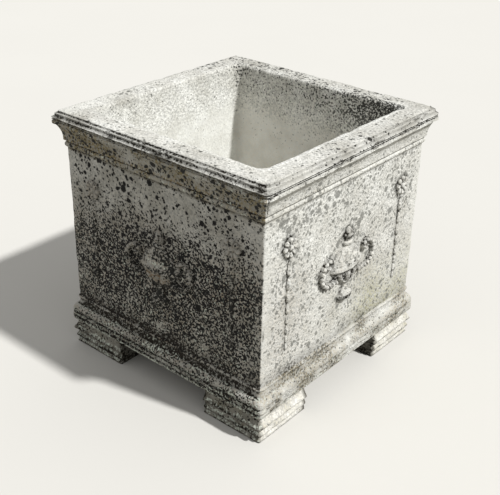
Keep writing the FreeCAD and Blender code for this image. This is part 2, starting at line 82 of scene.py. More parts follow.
class Mark(Enum):
    """A kind of weathering, some of it with painted light, kept on the surface as an amount from nothing to full.
    """

    LICHEN = "lichen"
    PEPPER = "pepper"
    # Soil, and painted shade in hollows, grooves, undersides and round the ornaments
    SOIL_AND_SHADE = "soil_and_shade"
    MOSS = "moss"
    # Pale crust of lichen, and painted highlight on up-facing lips, arrises and the urn's lid
    CRUST_AND_HIGHLIGHT = "crust_and_highlight"
    # Grey grime, and painted shade on the faces away from the light
    GRIME_AND_SHADE = "grime_and_shade"
    EARTH = "earth"


def linear(colour: str) -> tuple[float, float, float, float]:
    """Turn an sRGB hex colour into linear light.

    Args:
        colour: Six hex digits.

    Returns:
        Red, green, blue and full opacity.
    """
    shares = np.array([int(colour[place:place + 2], 16) for place in (0, 2, 4)]) / 255.0
    light = np.where(shares <= 0.04045, shares / 12.92, ((shares + 0.055) / 1.055) ** 2.4)
    return (*light.tolist(), 1.0)


def per_metre(spacing: float) -> float:
    """How many of a spacing in millimetres go into a metre."""
    return 1.0 / (spacing * MILLIMETRE)


def smooth_step(low: Amount, high: Amount, values: np.ndarray) -> np.ndarray:
    """Rise from 0 at low to 1 at high along 3t^2 - 2t^3.

    Args:
        low: Value that gives 0.
        high: Value that gives 1. It may be the smaller of the two.
        values: What is measured.

    Returns:
        Amounts from 0 to 1.
    """
    share = np.clip((values - low) / (high - low), 0.0, 1.0)
    return share * share * (3.0 - 2.0 * share)


def bell(middle: float, half: Amount, values: np.ndarray) -> np.ndarray:
    """Fall from 1 at the middle to both sides, along exp(-(distance / half)^2)."""
    return np.exp(-((values - middle) / half) ** 2)


def between(limits: tuple[float, float], values: np.ndarray) -> np.ndarray:
    """Which values lie between two limits."""
    low, high = limits
    return (values > low) & (values < high)


def with_rise(flat: np.ndarray, rise: np.ndarray) -> np.ndarray:
    """Rings of flat places, each lifted to its own height."""
    return np.concatenate([flat, np.broadcast_to(rise[:, None, None], (*flat.shape[:2], 1))], axis=-1)


def scrambled(cell: np.ndarray, seed: int) -> np.ndarray:
    """A fixed number between -1 and 1 for each lattice corner.

    Args:
        cell: Whole numbers, three to a corner.
        seed: Sets one pattern apart from another.

    Returns:
        One number for each corner, from whole-number products folded into 16 bits.
    """
    mixed = (cell * np.array([73856093, 19349663, 83492791])).sum(axis=-1) + seed * 668265263
    mixed = (mixed ^ (mixed >> 13)) * 1274126177
    return ((mixed ^ (mixed >> 16)) & 0xFFFF) / 32767.5 - 1.0


def lattice_noise(points: np.ndarray, spacing: float, seed: int) -> np.ndarray:
    """Smooth noise between -1 and 1 through space.

    Each corner of a cubic lattice has a scrambled number. A point takes the mean of the eight corners of its
    cell, weighted along each axis by 3t^2 - 2t^3.

    Args:
        points: Places in millimetres, three to a point.
        spacing: Side of a lattice cell in millimetres.
        seed: Sets one pattern apart from another.

    Returns:
        One number for each point.
    """
    scaled = points / spacing
    cell = np.floor(scaled).astype(np.int64)
    share = scaled - cell
    share = share * share * (3.0 - 2.0 * share)
    total = np.zeros(points.shape[:-1])
    for corner in product((0, 1), repeat=3):
        step = np.array(corner)
        weight = np.prod(np.where(step == 1, share, 1.0 - share), axis=-1)
        total += weight * scrambled(cell + step, seed)
    return total


def rough_noise(points: np.ndarray, spacing: float, seed: int, octaves: int = 3) -> np.ndarray:
    """Noise with finer noise on it: each octave has half the spacing and half the height of the last.

    Args:
        points: Places in millimetres, three to a point.
        spacing: Spacing of the coarsest octave in millimetres.
        seed: Sets one pattern apart from another.
        octaves: How many are added.

    Returns:
        One number for each point, about -1 to 1.
    """
    layers = [lattice_noise(points, spacing / 2.0 ** n, seed + n) * 0.5 ** n for n in range(octaves)]
    return np.sum(layers, axis=0)


@dataclass
class Skin:
    """One closed surface: points in millimetres, faces, and how weathered each point is."""

    points: np.ndarray
    faces: list[np.ndarray]
    marks: dict[Mark, np.ndarray] = field(default_factory=dict)

    def turned(self, side: Side) -> "Skin":
        """The same surface, made for the front, turned to another face.

        Args:
            side: The face that it goes to.

        Returns:
            A new surface with the same faces and marks.
        """
        angle = np.pi / 2.0 * side.value
        cos, sin = np.round(np.cos(angle)), np.round(np.sin(angle))
        turn = np.array([[cos, -sin, 0.0], [sin, cos, 0.0], [0.0, 0.0, 1.0]])
        return Skin(self.points @ turn.T, self.faces, self.marks)


def joined(skins: list[Skin]) -> Skin:
    """Put several closed surfaces into one.

    Args:
        skins: Surfaces with the same marks.

    Returns:
        One surface that holds them all.
    """
    starts = np.cumsum([0, *[len(skin.points) for skin in skins[:-1]]])
    faces = [block + start for skin, start in zip(skins, starts) for block in skin.faces]
    marks = {mark: np.concatenate([skin.marks[mark] for skin in skins]) for mark in Mark}
    return Skin(np.concatenate([skin.points for skin in skins]), faces, marks)


def ring_faces(rows: int, columns: int, endless: bool) -> np.ndarray:
    """Four-sided faces of a grid whose every row is a closed ring, counted anticlockwise from above.

    Args:
        rows: Number of rings.
        columns: Points in each ring.
        endless: Whether the last ring joins the first.

    Returns:
        Four point numbers to a face, in the order that looks outwards.
    """
    row, column = np.meshgrid(np.arange(rows if endless else rows - 1), np.arange(columns), indexing="ij")
    above, beside = (row + 1) % rows, (column + 1) % columns
    corners = [row * columns + column, row * columns + beside, above * columns + beside, above * columns + column]
    return np.stack(corners, axis=-1).reshape(-1, 4)


def pole_faces(rows: int, columns: int) -> np.ndarray:
    """Fans that close a stack of rings at its foot and head, each about one added point.

    Args:
        rows: Number of rings.
        columns: Points in each ring.

    Returns:
        Three point numbers to a face. The foot's point follows the rings, and the head's follows that.
    """
    here = np.arange(columns)
    beside, last = (here + 1) % columns, (rows - 1) * columns
    foot, head = np.full(columns, rows * columns), np.full(columns, rows * columns + 1)
    lower = np.stack([foot, beside, here], axis=-1)
    upper = np.stack([head, last + here, last + beside], axis=-1)
    return np.concatenate([lower, upper])


def grid_normals(points: np.ndarray, endless: bool) -> np.ndarray:
    """Outward directions of a grid of rings: the way round each ring crossed with the way from ring to ring.

    Args:
        points: Rings of points, three numbers to a point.
        endless: Whether the last ring joins the first.

    Returns:
        One direction of unit length for each point.
    """
    round_way = np.roll(points, -1, axis=1) - np.roll(points, 1, axis=1)
    if endless:
        row_way = np.roll(points, -1, axis=0) - np.roll(points, 1, axis=0)
    else:
        row_way = np.gradient(points, axis=0)
    across = np.cross(round_way, row_way)
    return across / np.maximum(np.linalg.norm(across, axis=-1, keepdims=True), TINY)


def stacked(points: np.ndarray, foot: np.ndarray, head: np.ndarray, marks: dict[Mark, np.ndarray]) -> Skin:
    """Close a stack of rings with a point at its foot and one at its head.

    Args:
        points: Rings of points from the foot up.
        foot: The point that closes the lowest ring.
        head: The point that closes the highest ring.
        marks: Weathering of the rings.

    Returns:
        The closed surface, whose two end points are weathered as their rings are.
    """
    rows, columns = points.shape[:2]
    every = np.concatenate([points.reshape(-1, 3), foot[None], head[None]])
    full = {mark: np.concatenate([amount.ravel(), [amount[0].mean(), amount[-1].mean()]])
            for mark, amount in marks.items()}
    return Skin(every, [ring_faces(rows, columns, False), pole_faces(rows, columns)], full)


def square_rings(reach: np.ndarray, corner: np.ndarray, roundness: np.ndarray, straight: int,
                 bend: int) -> np.ndarray:
    """Square rings with round corners, which may pass into circles.

    A quarter of a ring runs along its straight side and then round its corner. With t from -1 to 1 along the
    side and the angle from 0 to 90 degrees round the corner, its place is
    (reach - corner) + corner * cos(angle) out, and (reach - corner) * t + corner * sin(angle) along.
    The circle has the same reach, with the same points spread round it.

    Args:
        reach: Half the width of each ring.
        corner: Radius of the corners, one column for each quarter.
        roundness: 0 for a square and 1 for a circle.
        straight: Points along each side.
        bend: Points inside each corner.

    Returns:
        Rings of points, two numbers to a point.
    """
    t = np.concatenate([np.linspace(-1.0, 1.0, straight), np.ones(bend)])
    angle = np.concatenate([np.zeros(straight), np.linspace(0.0, np.pi / 2.0, bend + 2)[1:-1]])
    # On the circle half a side takes 42 degrees, and the corner after it takes 6
    around = np.radians(42.0) * t + angle * (6.0 / 90.0)
    reach, roundness = reach[:, None, None], roundness[:, None, None]
    corner = corner[:, :, None]
    out = (reach - corner) + corner * np.cos(angle)
    along = (reach - corner) * t + corner * np.sin(angle)
    out = out + (reach * np.cos(around) - out) * roundness
    along = along + (reach * np.sin(around) - along) * roundness
    turn = np.arange(4)[None, :, None] * (np.pi / 2.0)
    cos, sin = np.cos(turn), np.sin(turn)
    places = np.stack([out * cos - along * sin, out * sin + along * cos], axis=-1)
    return places.reshape(len(places), -1, 2)


def upright_arc(level: Place, other: Place, count: int) -> list[Place]:
    """Points inside the arc between two points that runs upright where it meets the first.

    Its centre is level with the first point, as far off as makes both lie on one circle:
    (across^2 + up^2) / (2 * across).

    Args:
        level: Reach and rise where the arc is upright.
        other: Reach and rise of its other end.
        count: How many points.

    Returns:
        Points from the first end to the other, both left out.
    """
    across, up = other[0] - level[0], other[1] - level[1]
    offset = (across ** 2 + up ** 2) / (2.0 * across)
    end = np.arctan2(up, across - offset)
    start = np.arctan2(0.0, -offset)
    swing = (end - start + np.pi) % (2.0 * np.pi) - np.pi
    angle = start + swing * np.linspace(0.0, 1.0, count + 2)[1:-1]
    reach = level[0] + offset + abs(offset) * np.cos(angle)
    rise = level[1] + abs(offset) * np.sin(angle)
    return list(zip(reach.tolist(), rise.tolist()))


def swelling(foot: Place, head: Place, out: float, count: int) -> list[Place]:
    """Points inside a bead's arc, which swells from an upright line.

    The radius is (half^2 + out^2) / (2 * out) for a line of twice half, with the centre that far behind the crown.

    Args:
        foot: Reach and rise of the lower end.
        head: Reach and rise of the upper end.
        out: How far the crown stands from the line.
        count: How many points.

    Returns:
        Points from foot to head, both left out.
    """
    half = (head[1] - foot[1]) / 2.0
    radius = (half ** 2 + out ** 2) / (2.0 * out)
    widest = np.arctan2(half, radius - out)
    angle = np.linspace(-widest, widest, count + 2)[1:-1]
    reach = foot[0] + out - radius + radius * np.cos(angle)
    rise = foot[1] + half + radius * np.sin(angle)
    return list(zip(reach.tolist(), rise.tolist()))


def eased(corners: np.ndarray, rounding: np.ndarray, endless: bool, steps: int = 3) -> np.ndarray:
    """Round every corner of a line.

    Each corner gives way to a quadratic curve that leaves one edge and meets the next at the rounding's
    distance, or at 0.45 of the shorter edge, with the corner as its control point. A corner with only a
    slight turn, such as a point of an arc, stays as it is.

    Args:
        corners: Points of the line, with any other numbers that go along with them.
        rounding: Distance for each corner.
        endless: Whether the last corner joins the first.
        steps: Points in each curve.

    Returns:
        The rounded line.
    """
    before, after = np.roll(corners, 1, axis=0), np.roll(corners, -1, axis=0)
    if not endless:
        before[0], after[-1] = corners[0], corners[-1]
    way_in, way_out = (corners - before)[:, :2], (after - corners)[:, :2]
    back, on = np.linalg.norm(way_in, axis=1), np.linalg.norm(way_out, axis=1)
    across = way_in[:, 0] * way_out[:, 1] - way_in[:, 1] * way_out[:, 0]
    turn = np.abs(np.arctan2(across, (way_in * way_out).sum(axis=1)))
    cut = np.where(turn > SLIGHT_TURN, np.minimum(rounding, 0.45 * np.minimum(back, on)), 0.0)
    start = corners + (before - corners) * (cut / np.maximum(back, TINY))[:, None]
    end = corners + (after - corners) * (cut / np.maximum(on, TINY))[:, None]
    t = np.linspace(0.0, 1.0, steps)[None, :, None]
    curve = (1.0 - t) ** 2 * start[:, None] + 2.0 * t * (1.0 - t) * corners[:, None] + t ** 2 * end[:, None]
    line = curve.reshape(-1, corners.shape[1])
    moved = np.linalg.norm(np.diff(line[:, :2], axis=0, prepend=line[-1:, :2]), axis=1) > SAME_PLACE
    moved[0] = moved[0] or not endless
    return line[moved]


def filled_in(line: np.ndarray, spacing: np.ndarray, endless: bool) -> np.ndarray:
    """Divide the long edges of a line evenly.

    Args:
        line: Points, with any other numbers that go along with them.
        spacing: The longest edge allowed after each point.
        endless: Whether the last point joins the first.

    Returns:
        The line with the added points, each a straight share between its neighbours.
    """
    following = np.roll(line, -1, axis=0) if endless else line[1:]
    here = line if endless else line[:-1]
    length = np.linalg.norm((following - here)[:, :2], axis=1)
    pieces = np.maximum(1, np.ceil(length / spacing[:len(here)])).astype(int)
    edge = np.repeat(np.arange(len(here)), pieces)
    share = (np.arange(pieces.sum()) - np.repeat(np.cumsum(pieces) - pieces, pieces)) / pieces[edge]
    full = here[edge] + (following[edge] - here[edge]) * share[:, None]
    return full if endless else np.concatenate([full, line[-1:]])


def creases(line: np.ndarray, endless: bool, width: float) -> tuple[np.ndarray, np.ndarray]:
    """How much a line bends outwards and inwards about each point.

    The turn at each point is the arc sine of the cross product of its two edges' directions. Each point takes
    its neighbours' turns, weighted by exp(-(distance / width)^2).

    Args:
        line: Points of the line, the solid on its left.
        endless: Whether the last point joins the first.
        width: How far a bend is felt, in millimetres.

    Returns:
        Outward bends and inward bends, each from 0 to 1.
    """
    place = line[:, :2]
    step = np.roll(place, -1, axis=0) - place
    length = np.maximum(np.linalg.norm(step, axis=1), TINY)
    way = step / length[:, None]
    before = np.roll(way, 1, axis=0)
    turn = np.arcsin(np.clip(before[:, 0] * way[:, 1] - before[:, 1] * way[:, 0], -1.0, 1.0))
    if not endless:
        turn[[0, -1]] = 0.0
    run = np.concatenate([[0.0], np.cumsum(length)[:-1]])
    apart = np.abs(run[:, None] - run[None, :])
    apart = np.minimum(apart, length.sum() - apart) if endless else apart
    felt = bell(0.0, width, apart)
    outward, inward = [np.clip(felt @ np.maximum(bent, 0.0), 0.0, 1.0) for bent in (turn, -turn)]
    return outward, inward


def add_node(tree: Tree, kind: str, inputs: dict[str | int, object] | None = None,
             **settings: object) -> bpy.types.Node:
    """Add a node with its settings and links.

    Args:
        tree: Where it goes.
        kind: The shader node's type.
        inputs: A value, or a socket to link from, for each named or numbered input.
        settings: The node's own properties.

    Returns:
        The new node.
    """
    node = tree.nodes.new(f"ShaderNode{kind}")
    for name, value in settings.items():
        setattr(node, name, value)
    for socket, value in (inputs or {}).items():
        if isinstance(value, Socket):
            tree.links.new(value, node.inputs[socket])
        else:
            node.inputs[socket].default_value = value
    return node


def new_material(name: str) -> tuple[Material, Tree]:
    """An empty material with nodes, and its tree.

    Args:
        name: What it is called.

    Returns:
        The material and its nodes.
    """
    material = bpy.data.materials.new(name)
    material.use_nodes = True
    material.node_tree.nodes.clear()
    return material, material.node_tree


@dataclass(frozen=True)
class CastStone:
    """Reconstituted stone: crushed limestone and cement, cast in a mould and left outdoors for decades.

    To the eye it is pale and quite matt, with a sandy skin, blotched by rain and peppered with round dark colonies
    of lichen. Dirt and painted shade darken its hollows and shaded faces, and soft stains run down from wet ledges.
    """

    name: str
    pale: str = "f2f2ec"
    dull: str = "dfded6"
    # Grimed colours, partly painted shade for the faces away from the light
    grimed_and_shaded_pale: str = "d3d2cb"
    grimed_and_shaded_dull: str = "b3b1a8"
    thin_lichen: str = "6f6f69"
    thick_lichen: str = "0c0b09"
    # Soil, also the colour of painted shade in hollows, grooves and undersides
    soil_and_shade: str = "1f1b14"
    moss: str = "a3a172"
    # Pale crust, also the colour of painted highlights on lips, arrises and the urn's lid
    crust_and_highlight: str = "dce1d4"
    earth: str = "8a775e"
    blotch_size: float = 42.0
    sand_size: float = 3.6
    pepper_size: float = 3.7
    speck_size: float = 3.2
    crust_size: float = 3.8
    small_colony: float = 5.5
    middle_colony: float = 9.0
    large_colony: float = 17.0
    ragged_size: float = 3.4
    fray: float = 6.2
    pit_size: float = 6.0
    pit_depth: float = 1.7
    # A colony's reach as a share of its cell, from the thinnest growth to the thickest, and its solid core's share
    least_reach: float = 0.22
    most_reach: float = 0.6
    core_share: float = 0.7
    askew: tuple[float, float, float] = (0.5, 0.35, 0.8)

    def colonies(self, tree: Tree, place: Socket, density: Socket, spacing: float, chance: float) -> Socket:
        """Round colonies: each cell of a scattered lattice holds one, if its lot is under the local density.

        Args:
            tree: The material's nodes.
            place: Where on the stone.
            density: How much lichen grows there, from 0 to 1.
            spacing: Mean distance between cells in millimetres.
            chance: Share of the cells that can hold a colony at full density.

        Returns:
            1 inside a colony and 0 outside it.
        """
        cells = add_node(tree, "TexVoronoi", {"Vector": place, "Scale": per_metre(spacing)}).outputs
        lot = add_node(tree, "SeparateColor", {"Color": cells["Color"]}).outputs["Red"]
        growth = add_node(tree, "Math", {0: density, 1: chance}, operation="MULTIPLY").outputs[0]
        growth = add_node(tree, "Math", {0: growth, 1: lot}, operation="SUBTRACT").outputs[0]
        reach = add_node(tree, "MapRange", {
            "Value": growth, "From Min": 0.0, "From Max": 0.5, "To Min": self.least_reach,
            "To Max": self.most_reach}).outputs[0]
        core = add_node(tree, "Math", {0: reach, 1: self.core_share}, operation="MULTIPLY").outputs[0]
        inside = add_node(tree, "MapRange", {
            "Value": cells["Distance"], "From Min": reach, "From Max": core},
            interpolation_type="SMOOTHSTEP").outputs[0]
        alive = add_node(tree, "MapRange", {
            "Value": growth, "From Min": 0.0, "From Max": 0.04}).outputs[0]
        return add_node(tree, "Math", {0: inside, 1: alive}, operation="MULTIPLY").outputs[0]

    def specks(self, tree: Tree, place: Socket, density: Socket, spacing: float, edge: Socket | float,
               least: float) -> Socket:
        """Fine ragged specks, which close up into a crust as the growth thickens.

        Args:
            tree: The material's nodes.
            place: Where on the stone.
            density: How much grows there, from 0 to 1.
            spacing: Mean distance between specks in millimetres.
            edge: How soft the specks' edges are, as a share of the noise that draws them.
            least: The density at which they start.

        Returns:
            1 inside a speck and 0 outside it.
        """
        grain = add_node(tree, "TexNoise", {
            "Vector": place, "Scale": per_metre(spacing), "Detail": 1.0, "Roughness": 0.5}).outputs["Fac"]
        start = add_node(tree, "MapRange", {
            "Value": density, "From Min": least, "To Min": 0.78, "To Max": 0.46}).outputs[0]
        full = add_node(tree, "Math", {0: start, 1: edge}, operation="ADD").outputs[0]
        return add_node(tree, "MapRange", {
            "Value": grain, "From Min": start, "From Max": full}, interpolation_type="SMOOTHSTEP").outputs[0]

    def noises(self, tree: Tree, place: Socket) -> dict[str, Socket]:
        """The patterns that the stone is drawn with.

        Args:
            tree: The material's nodes.
            place: Where on the stone.

        Returns:
            Blotches, sand, ragged edges and pits.
        """
        # Sand grains of about half a millimetre are drawn at about seven times that, so that they show
        kinds = (("blotch", self.blotch_size, 4.0, 0.6, "Fac"), ("sand", self.sand_size, 1.0, 0.5, "Fac"),
                 ("ragged", self.ragged_size, 3.0, 0.7, "Color"), ("pits", self.pit_size, 2.0, 0.6, "Fac"))
        return {name: add_node(tree, "TexNoise", {
            "Vector": place, "Scale": per_metre(size), "Detail": detail, "Roughness": rough}).outputs[output]
            for name, size, detail, rough, output in kinds}

    def bare_stone(self, tree: Tree, marks: dict[Mark, Socket], noise: dict[str, Socket], patchy: Socket,
                   exposed: Socket) -> Socket:
        """The stone under its growth: blotched, greyed by grime and painted shade, stained by earth and moss, and
        grained by its sand.

        Args:
            tree: The material's nodes.
            marks: The piece's weathering.
            noise: The stone's patterns.
            patchy: What breaks up the stains.
            exposed: How much of the smooth moulded skin the rain has taken.

        Returns:
            Its colour.
        """
        mottle = add_node(tree, "MapRange", {
            "Value": noise["blotch"], "From Min": 0.35, "From Max": 0.65}).outputs[0]
        clean, grimed_and_shaded = [add_node(tree, "Mix", {
            SHARE: mottle, UNDER: linear(dull), OVER: linear(pale)}, data_type="RGBA").outputs[BLEND]
            for dull, pale in ((self.dull, self.pale), (self.grimed_and_shaded_dull, self.grimed_and_shaded_pale))]
        colour = add_node(tree, "Mix", {
            SHARE: marks[Mark.GRIME_AND_SHADE], UNDER: clean, OVER: grimed_and_shaded}, data_type="RGBA").outputs[BLEND]
        for mark, stain in ((Mark.EARTH, self.earth), (Mark.MOSS, self.moss)):
            amount = add_node(tree, "Math", {
                0: marks[mark], 1: patchy}, operation="MULTIPLY", use_clamp=True).outputs[0]
            colour = add_node(tree, "Mix", {
                SHARE: amount, UNDER: colour, OVER: linear(stain)}, data_type="RGBA").outputs[BLEND]
        pitted, proud = [add_node(tree, "MapRange", {
            "Value": exposed, "To Min": 1.0, "To Max": shade}).outputs[0] for shade in (0.74, 1.1)]
        grain = add_node(tree, "MapRange", {
            "Value": noise["sand"], "From Min": 0.38, "From Max": 0.62, "To Min": pitted,
            "To Max": proud}).outputs[0]
        return add_node(tree, "VectorMath", {0: colour, "Scale": grain}, operation="SCALE").outputs[0]

    def dark_growth(self, tree: Tree, place: Socket, wander: Socket,
                    marks: dict[Mark, Socket]) -> tuple[Socket, Socket]:
        """Specks and colonies of lichen, thin and grey in the sun, thick and black in the shade.

        Args:
            tree: The material's nodes.
            place: Where on the stone.
            wander: The same with ragged noise on it, which frays the colonies.
            marks: The piece's weathering.

        Returns:
            How much of the stone it covers, and its colour.
        """
        grime_and_shade = marks[Mark.GRIME_AND_SHADE]
        soft = add_node(tree, "MapRange", {"Value": grime_and_shade, "To Min": 0.09, "To Max": 0.05}).outputs[0]
        spots = self.specks(tree, place, marks[Mark.PEPPER], self.speck_size, soft, 0.35)
        for mark, spacing, chance in (
                (Mark.PEPPER, self.pepper_size, 0.85), (Mark.LICHEN, self.small_colony, 0.7),
                (Mark.LICHEN, self.middle_colony, 0.6), (Mark.LICHEN, self.large_colony, 0.34)):
            layer = self.colonies(tree, wander, marks[mark], spacing, chance)
            spots = add_node(tree, "Math", {0: spots, 1: layer}, operation="MAXIMUM").outputs[0]
        strength = add_node(tree, "MapRange", {
            "Value": grime_and_shade, "From Min": 0.2, "From Max": 0.8, "To Min": 0.72, "To Max": 1.0}).outputs[0]
        cover = add_node(tree, "Math", {0: spots, 1: strength}, operation="MULTIPLY").outputs[0]
        colony = add_node(tree, "Mix", {
            SHARE: grime_and_shade, UNDER: linear(self.thin_lichen), OVER: linear(self.thick_lichen)}, data_type="RGBA")
        return cover, colony.outputs[BLEND]

    def material(self) -> Material:
        """Make the finish.

        Returns:
            A material that reads the piece's weathering marks.
        """
        material, tree = new_material(self.name)
        upright = add_node(tree, "TexCoord").outputs["Object"]
        # Turned, so that the noise's own lattice lies askew to the walls and doesn't show
        place = add_node(tree, "Mapping", {"Vector": upright, "Rotation": self.askew}).outputs[0]
        marks = {mark: add_node(tree, "Attribute", attribute_name=mark.value).outputs["Fac"]
                 for mark in Mark}
        noise = self.noises(tree, place)
        sand = noise["sand"]
        fray = (self.fray * MILLIMETRE,) * 3
        wander = add_node(tree, "VectorMath", {
            0: noise["ragged"], 1: fray, 2: place}, operation="MULTIPLY_ADD").outputs[0]
        patchy = add_node(tree, "MapRange", {
            "Value": sand, "From Min": 0.38, "From Max": 0.62, "To Min": 0.35, "To Max": 1.5}).outputs[0]
        # Stone that was never rained on keeps its smooth moulded skin
        exposed = add_node(tree, "MapRange", {
            "Value": marks[Mark.GRIME_AND_SHADE], "From Max": 0.12, "To Min": 0.2, "To Max": 1.0}).outputs[0]

        colour = self.bare_stone(tree, marks, noise, patchy, exposed)
        # Pale crust, partly painted highlight
        pale_growth_and_highlight = self.specks(tree, wander, marks[Mark.CRUST_AND_HIGHLIGHT], self.crust_size, 0.08, 0.0)
        # Soil and painted shade darken the stone
        dirt_and_shade = add_node(tree, "Math", {
            0: marks[Mark.SOIL_AND_SHADE], 1: patchy}, operation="MULTIPLY", use_clamp=True).outputs[0]
        for cover, over in (self.dark_growth(tree, place, wander, marks), (pale_growth_and_highlight, linear(self.crust_and_highlight)),
                            (dirt_and_shade, linear(self.soil_and_shade))):
            colour = add_node(tree, "Mix", {
                SHARE: cover, UNDER: colour, OVER: over}, data_type="RGBA").outputs[BLEND]

        matt = add_node(tree, "MapRange", {
            "Value": sand, "From Min": 0.3, "From Max": 0.7, "To Min": 0.84, "To Max": 0.98}).outputs[0]
        height = add_node(tree, "Math", {
            0: noise["pits"], 1: 1.6, 2: sand}, operation="MULTIPLY_ADD").outputs[0]
        height = add_node(tree, "Math", {0: height, 1: exposed}, operation="MULTIPLY").outputs[0]
        relief = add_node(tree, "Bump", {
            "Height": height, "Strength": 0.7, "Distance": self.pit_depth * MILLIMETRE})
        surface = add_node(tree, "BsdfPrincipled", {
            "Base Color": colour, "Roughness": matt, "Normal": relief.outputs[0], "Specular IOR Level": 0.25})
        add_node(tree, "OutputMaterial", {"Surface": surface.outputs[0]})
        return material


@dataclass(frozen=True)
class LimeMortar:
    """Sand and lime mortar, trowelled thin and raked: grey-brown, gritty and always in shadow."""

    name: str = "lime_mortar_raked"
    light: str = "8a8171"
    dark: str = "57503f"
    grit_size: float = 2.0

    def material(self) -> Material:
        """Make the finish, speckled with grit.

        Returns:
            The material.
        """
        material, tree = new_material(self.name)
        place = add_node(tree, "TexCoord").outputs["Object"]
        grit = add_node(tree, "TexNoise", {
            "Vector": place, "Scale": per_metre(self.grit_size), "Detail": 4.0, "Roughness": 0.7}).outputs["Fac"]
        colour = add_node(tree, "Mix", {
            SHARE: grit, UNDER: linear(self.dark), OVER: linear(self.light)}, data_type="RGBA").outputs[BLEND]
        matt = add_node(tree, "MapRange", {"Value": grit, "To Min": 0.85, "To Max": 1.0}).outputs[0]
        relief = add_node(tree, "Bump", {"Height": grit, "Strength": 0.7, "Distance": 0.001})
        surface = add_node(tree, "BsdfPrincipled", {
            "Base Color": colour, "Roughness": matt, "Normal": relief.outputs[0], "Specular IOR Level": 0.2})
        add_node(tree, "OutputMaterial", {"Surface": surface.outputs[0]})
        return material


@dataclass(frozen=True)
class RolledSteel:
    """Plain round steel bar with a thin brown bloom of rust: a dull metal with drawn streaks."""

    name: str = "rolled_steel_bloomed"
    bare: str = "8b8782"
    bloomed: str = "6a5140"
    bloom_size: float = 5.0

    def material(self) -> Material:
        """Make the finish, clouded with rust.

        Returns:
            The material.
        """
        material, tree = new_material(self.name)
        place = add_node(tree, "TexCoord").outputs["Object"]
        bloom = add_node(tree, "TexNoise", {
            "Vector": place, "Scale": per_metre(self.bloom_size), "Detail": 4.0, "Roughness": 0.65}).outputs["Fac"]
        rust = add_node(tree, "MapRange", {"Value": bloom, "From Min": 0.4, "From Max": 0.6}).outputs[0]
        colour = add_node(tree, "Mix", {
            SHARE: rust, UNDER: linear(self.bare), OVER: linear(self.bloomed)}, data_type="RGBA").outputs[BLEND]
        matt = add_node(tree, "MapRange", {"Value": rust, "To Min": 0.35, "To Max": 0.8}).outputs[0]
        surface = add_node(tree, "BsdfPrincipled", {
            "Base Color": colour, "Roughness": matt, "Metallic": 1.0})
        add_node(tree, "OutputMaterial", {"Surface": surface.outputs[0]})
        return material


WALL_STONE = CastStone("cast_stone_weathered")
RELIEF_STONE = CastStone("cast_stone_ornament")
# The feet's grimed colours are darker, partly painted shade for their sides away from the light
FOOT_STONE = CastStone(
    "cast_stone_feet", pale="f0eee7", dull="dfdcd3", grimed_and_shaded_pale="b0ada3", grimed_and_shaded_dull="8c897f")


def add_piece(name: str, skin: Skin, node: str, finish: Material) -> None:
    """Make a surface into a piece that stands for a solid of the frame.

    Args:
        name: The piece's name.
        skin: Its surface and weathering.
        node: The solid that it stands for.
        finish: Its material.
    """
    mesh = bpy.data.meshes.new(name)
    faces = [face for block in skin.faces for face in block.tolist()]
    mesh.from_pydata((skin.points * MILLIMETRE).tolist(), [], faces)
    mesh.polygons.foreach_set("use_smooth", np.ones(len(faces), dtype=bool))
    for mark, amount in skin.marks.items():
        layer = mesh.attributes.new(mark.value, "FLOAT", "POINT")
        layer.data.foreach_set("value", np.clip(amount, 0.0, 1.0).astype(np.float32))
    mesh.materials.append(finish)
    mesh.update()
    piece = bpy.data.objects.new(name, mesh)
    bpy.context.scene.collection.objects.link(piece)
    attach(piece, "root")
    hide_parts(node)
    LOG.info("%s: %d points, %d faces", name, len(skin.points), len(faces))


@dataclass(frozen=True)
class Exposure:
    """How the weather has treated one face of the body, or each point round it."""

    # Grey grime, and painted shade on a face away from the light
    grime_and_shade: Amount
    lichen_high: Amount
    lichen_low: Amount
    lichen_urn: Amount
    moss: Amount
    earth: Amount
    # Pale crust, and painted highlight on the arrises
    crust_and_highlight: Amount
    # Soil, and painted shade in the mouldings' hollows
    soil_and_shade: Amount

    def growth(self, low: np.ndarray) -> np.ndarray:
        """Lichen, from the amount high on the wall to the amount low on it."""
        return self.lichen_high + (self.lichen_low - self.lichen_high) * low

    def shaded(self) -> Amount:
        """How far the shade rules: the square of the grime, which leaves the sunny faces nearly out."""
        return self.grime_and_shade ** 2


# The face in most shade is the most overgrown and, partly as painted shade, the darkest; the sunny one is the
# palest
EXPOSURES = {
    Side.RIGHT: Exposure(0.15, 0.90, 0.60, 0.20, 0.40, 0.16, 0.4, 0.4),
    Side.BACK: Exposure(0.4, 0.60, 0.66, 0.20, 0.40, 0.15, 0.5, 0.6),
    Side.LEFT: Exposure(0.8, 0.48, 0.85, 0.15, 0.20, 0.25, 0.7, 0.9),
    Side.FRONT: Exposure(1.0, 0.66, 0.98, 0.32, 0.05, 0.30, 1.0, 1.0),
}
# Where each face starts as the rings run round, with the way that its own across points
RING_ORDER = ((Side.RIGHT, (0, 1)), (Side.BACK, (-1, 0)), (Side.LEFT, (0, -1)), (Side.FRONT, (1, 0)))
# Level and half height of the painted highlight across the urn's lid, and of the bare underside of its bowl
LID_HIGHLIGHT, BARE_BOWL = (229.0, 7.0), (206.0, 8.0)


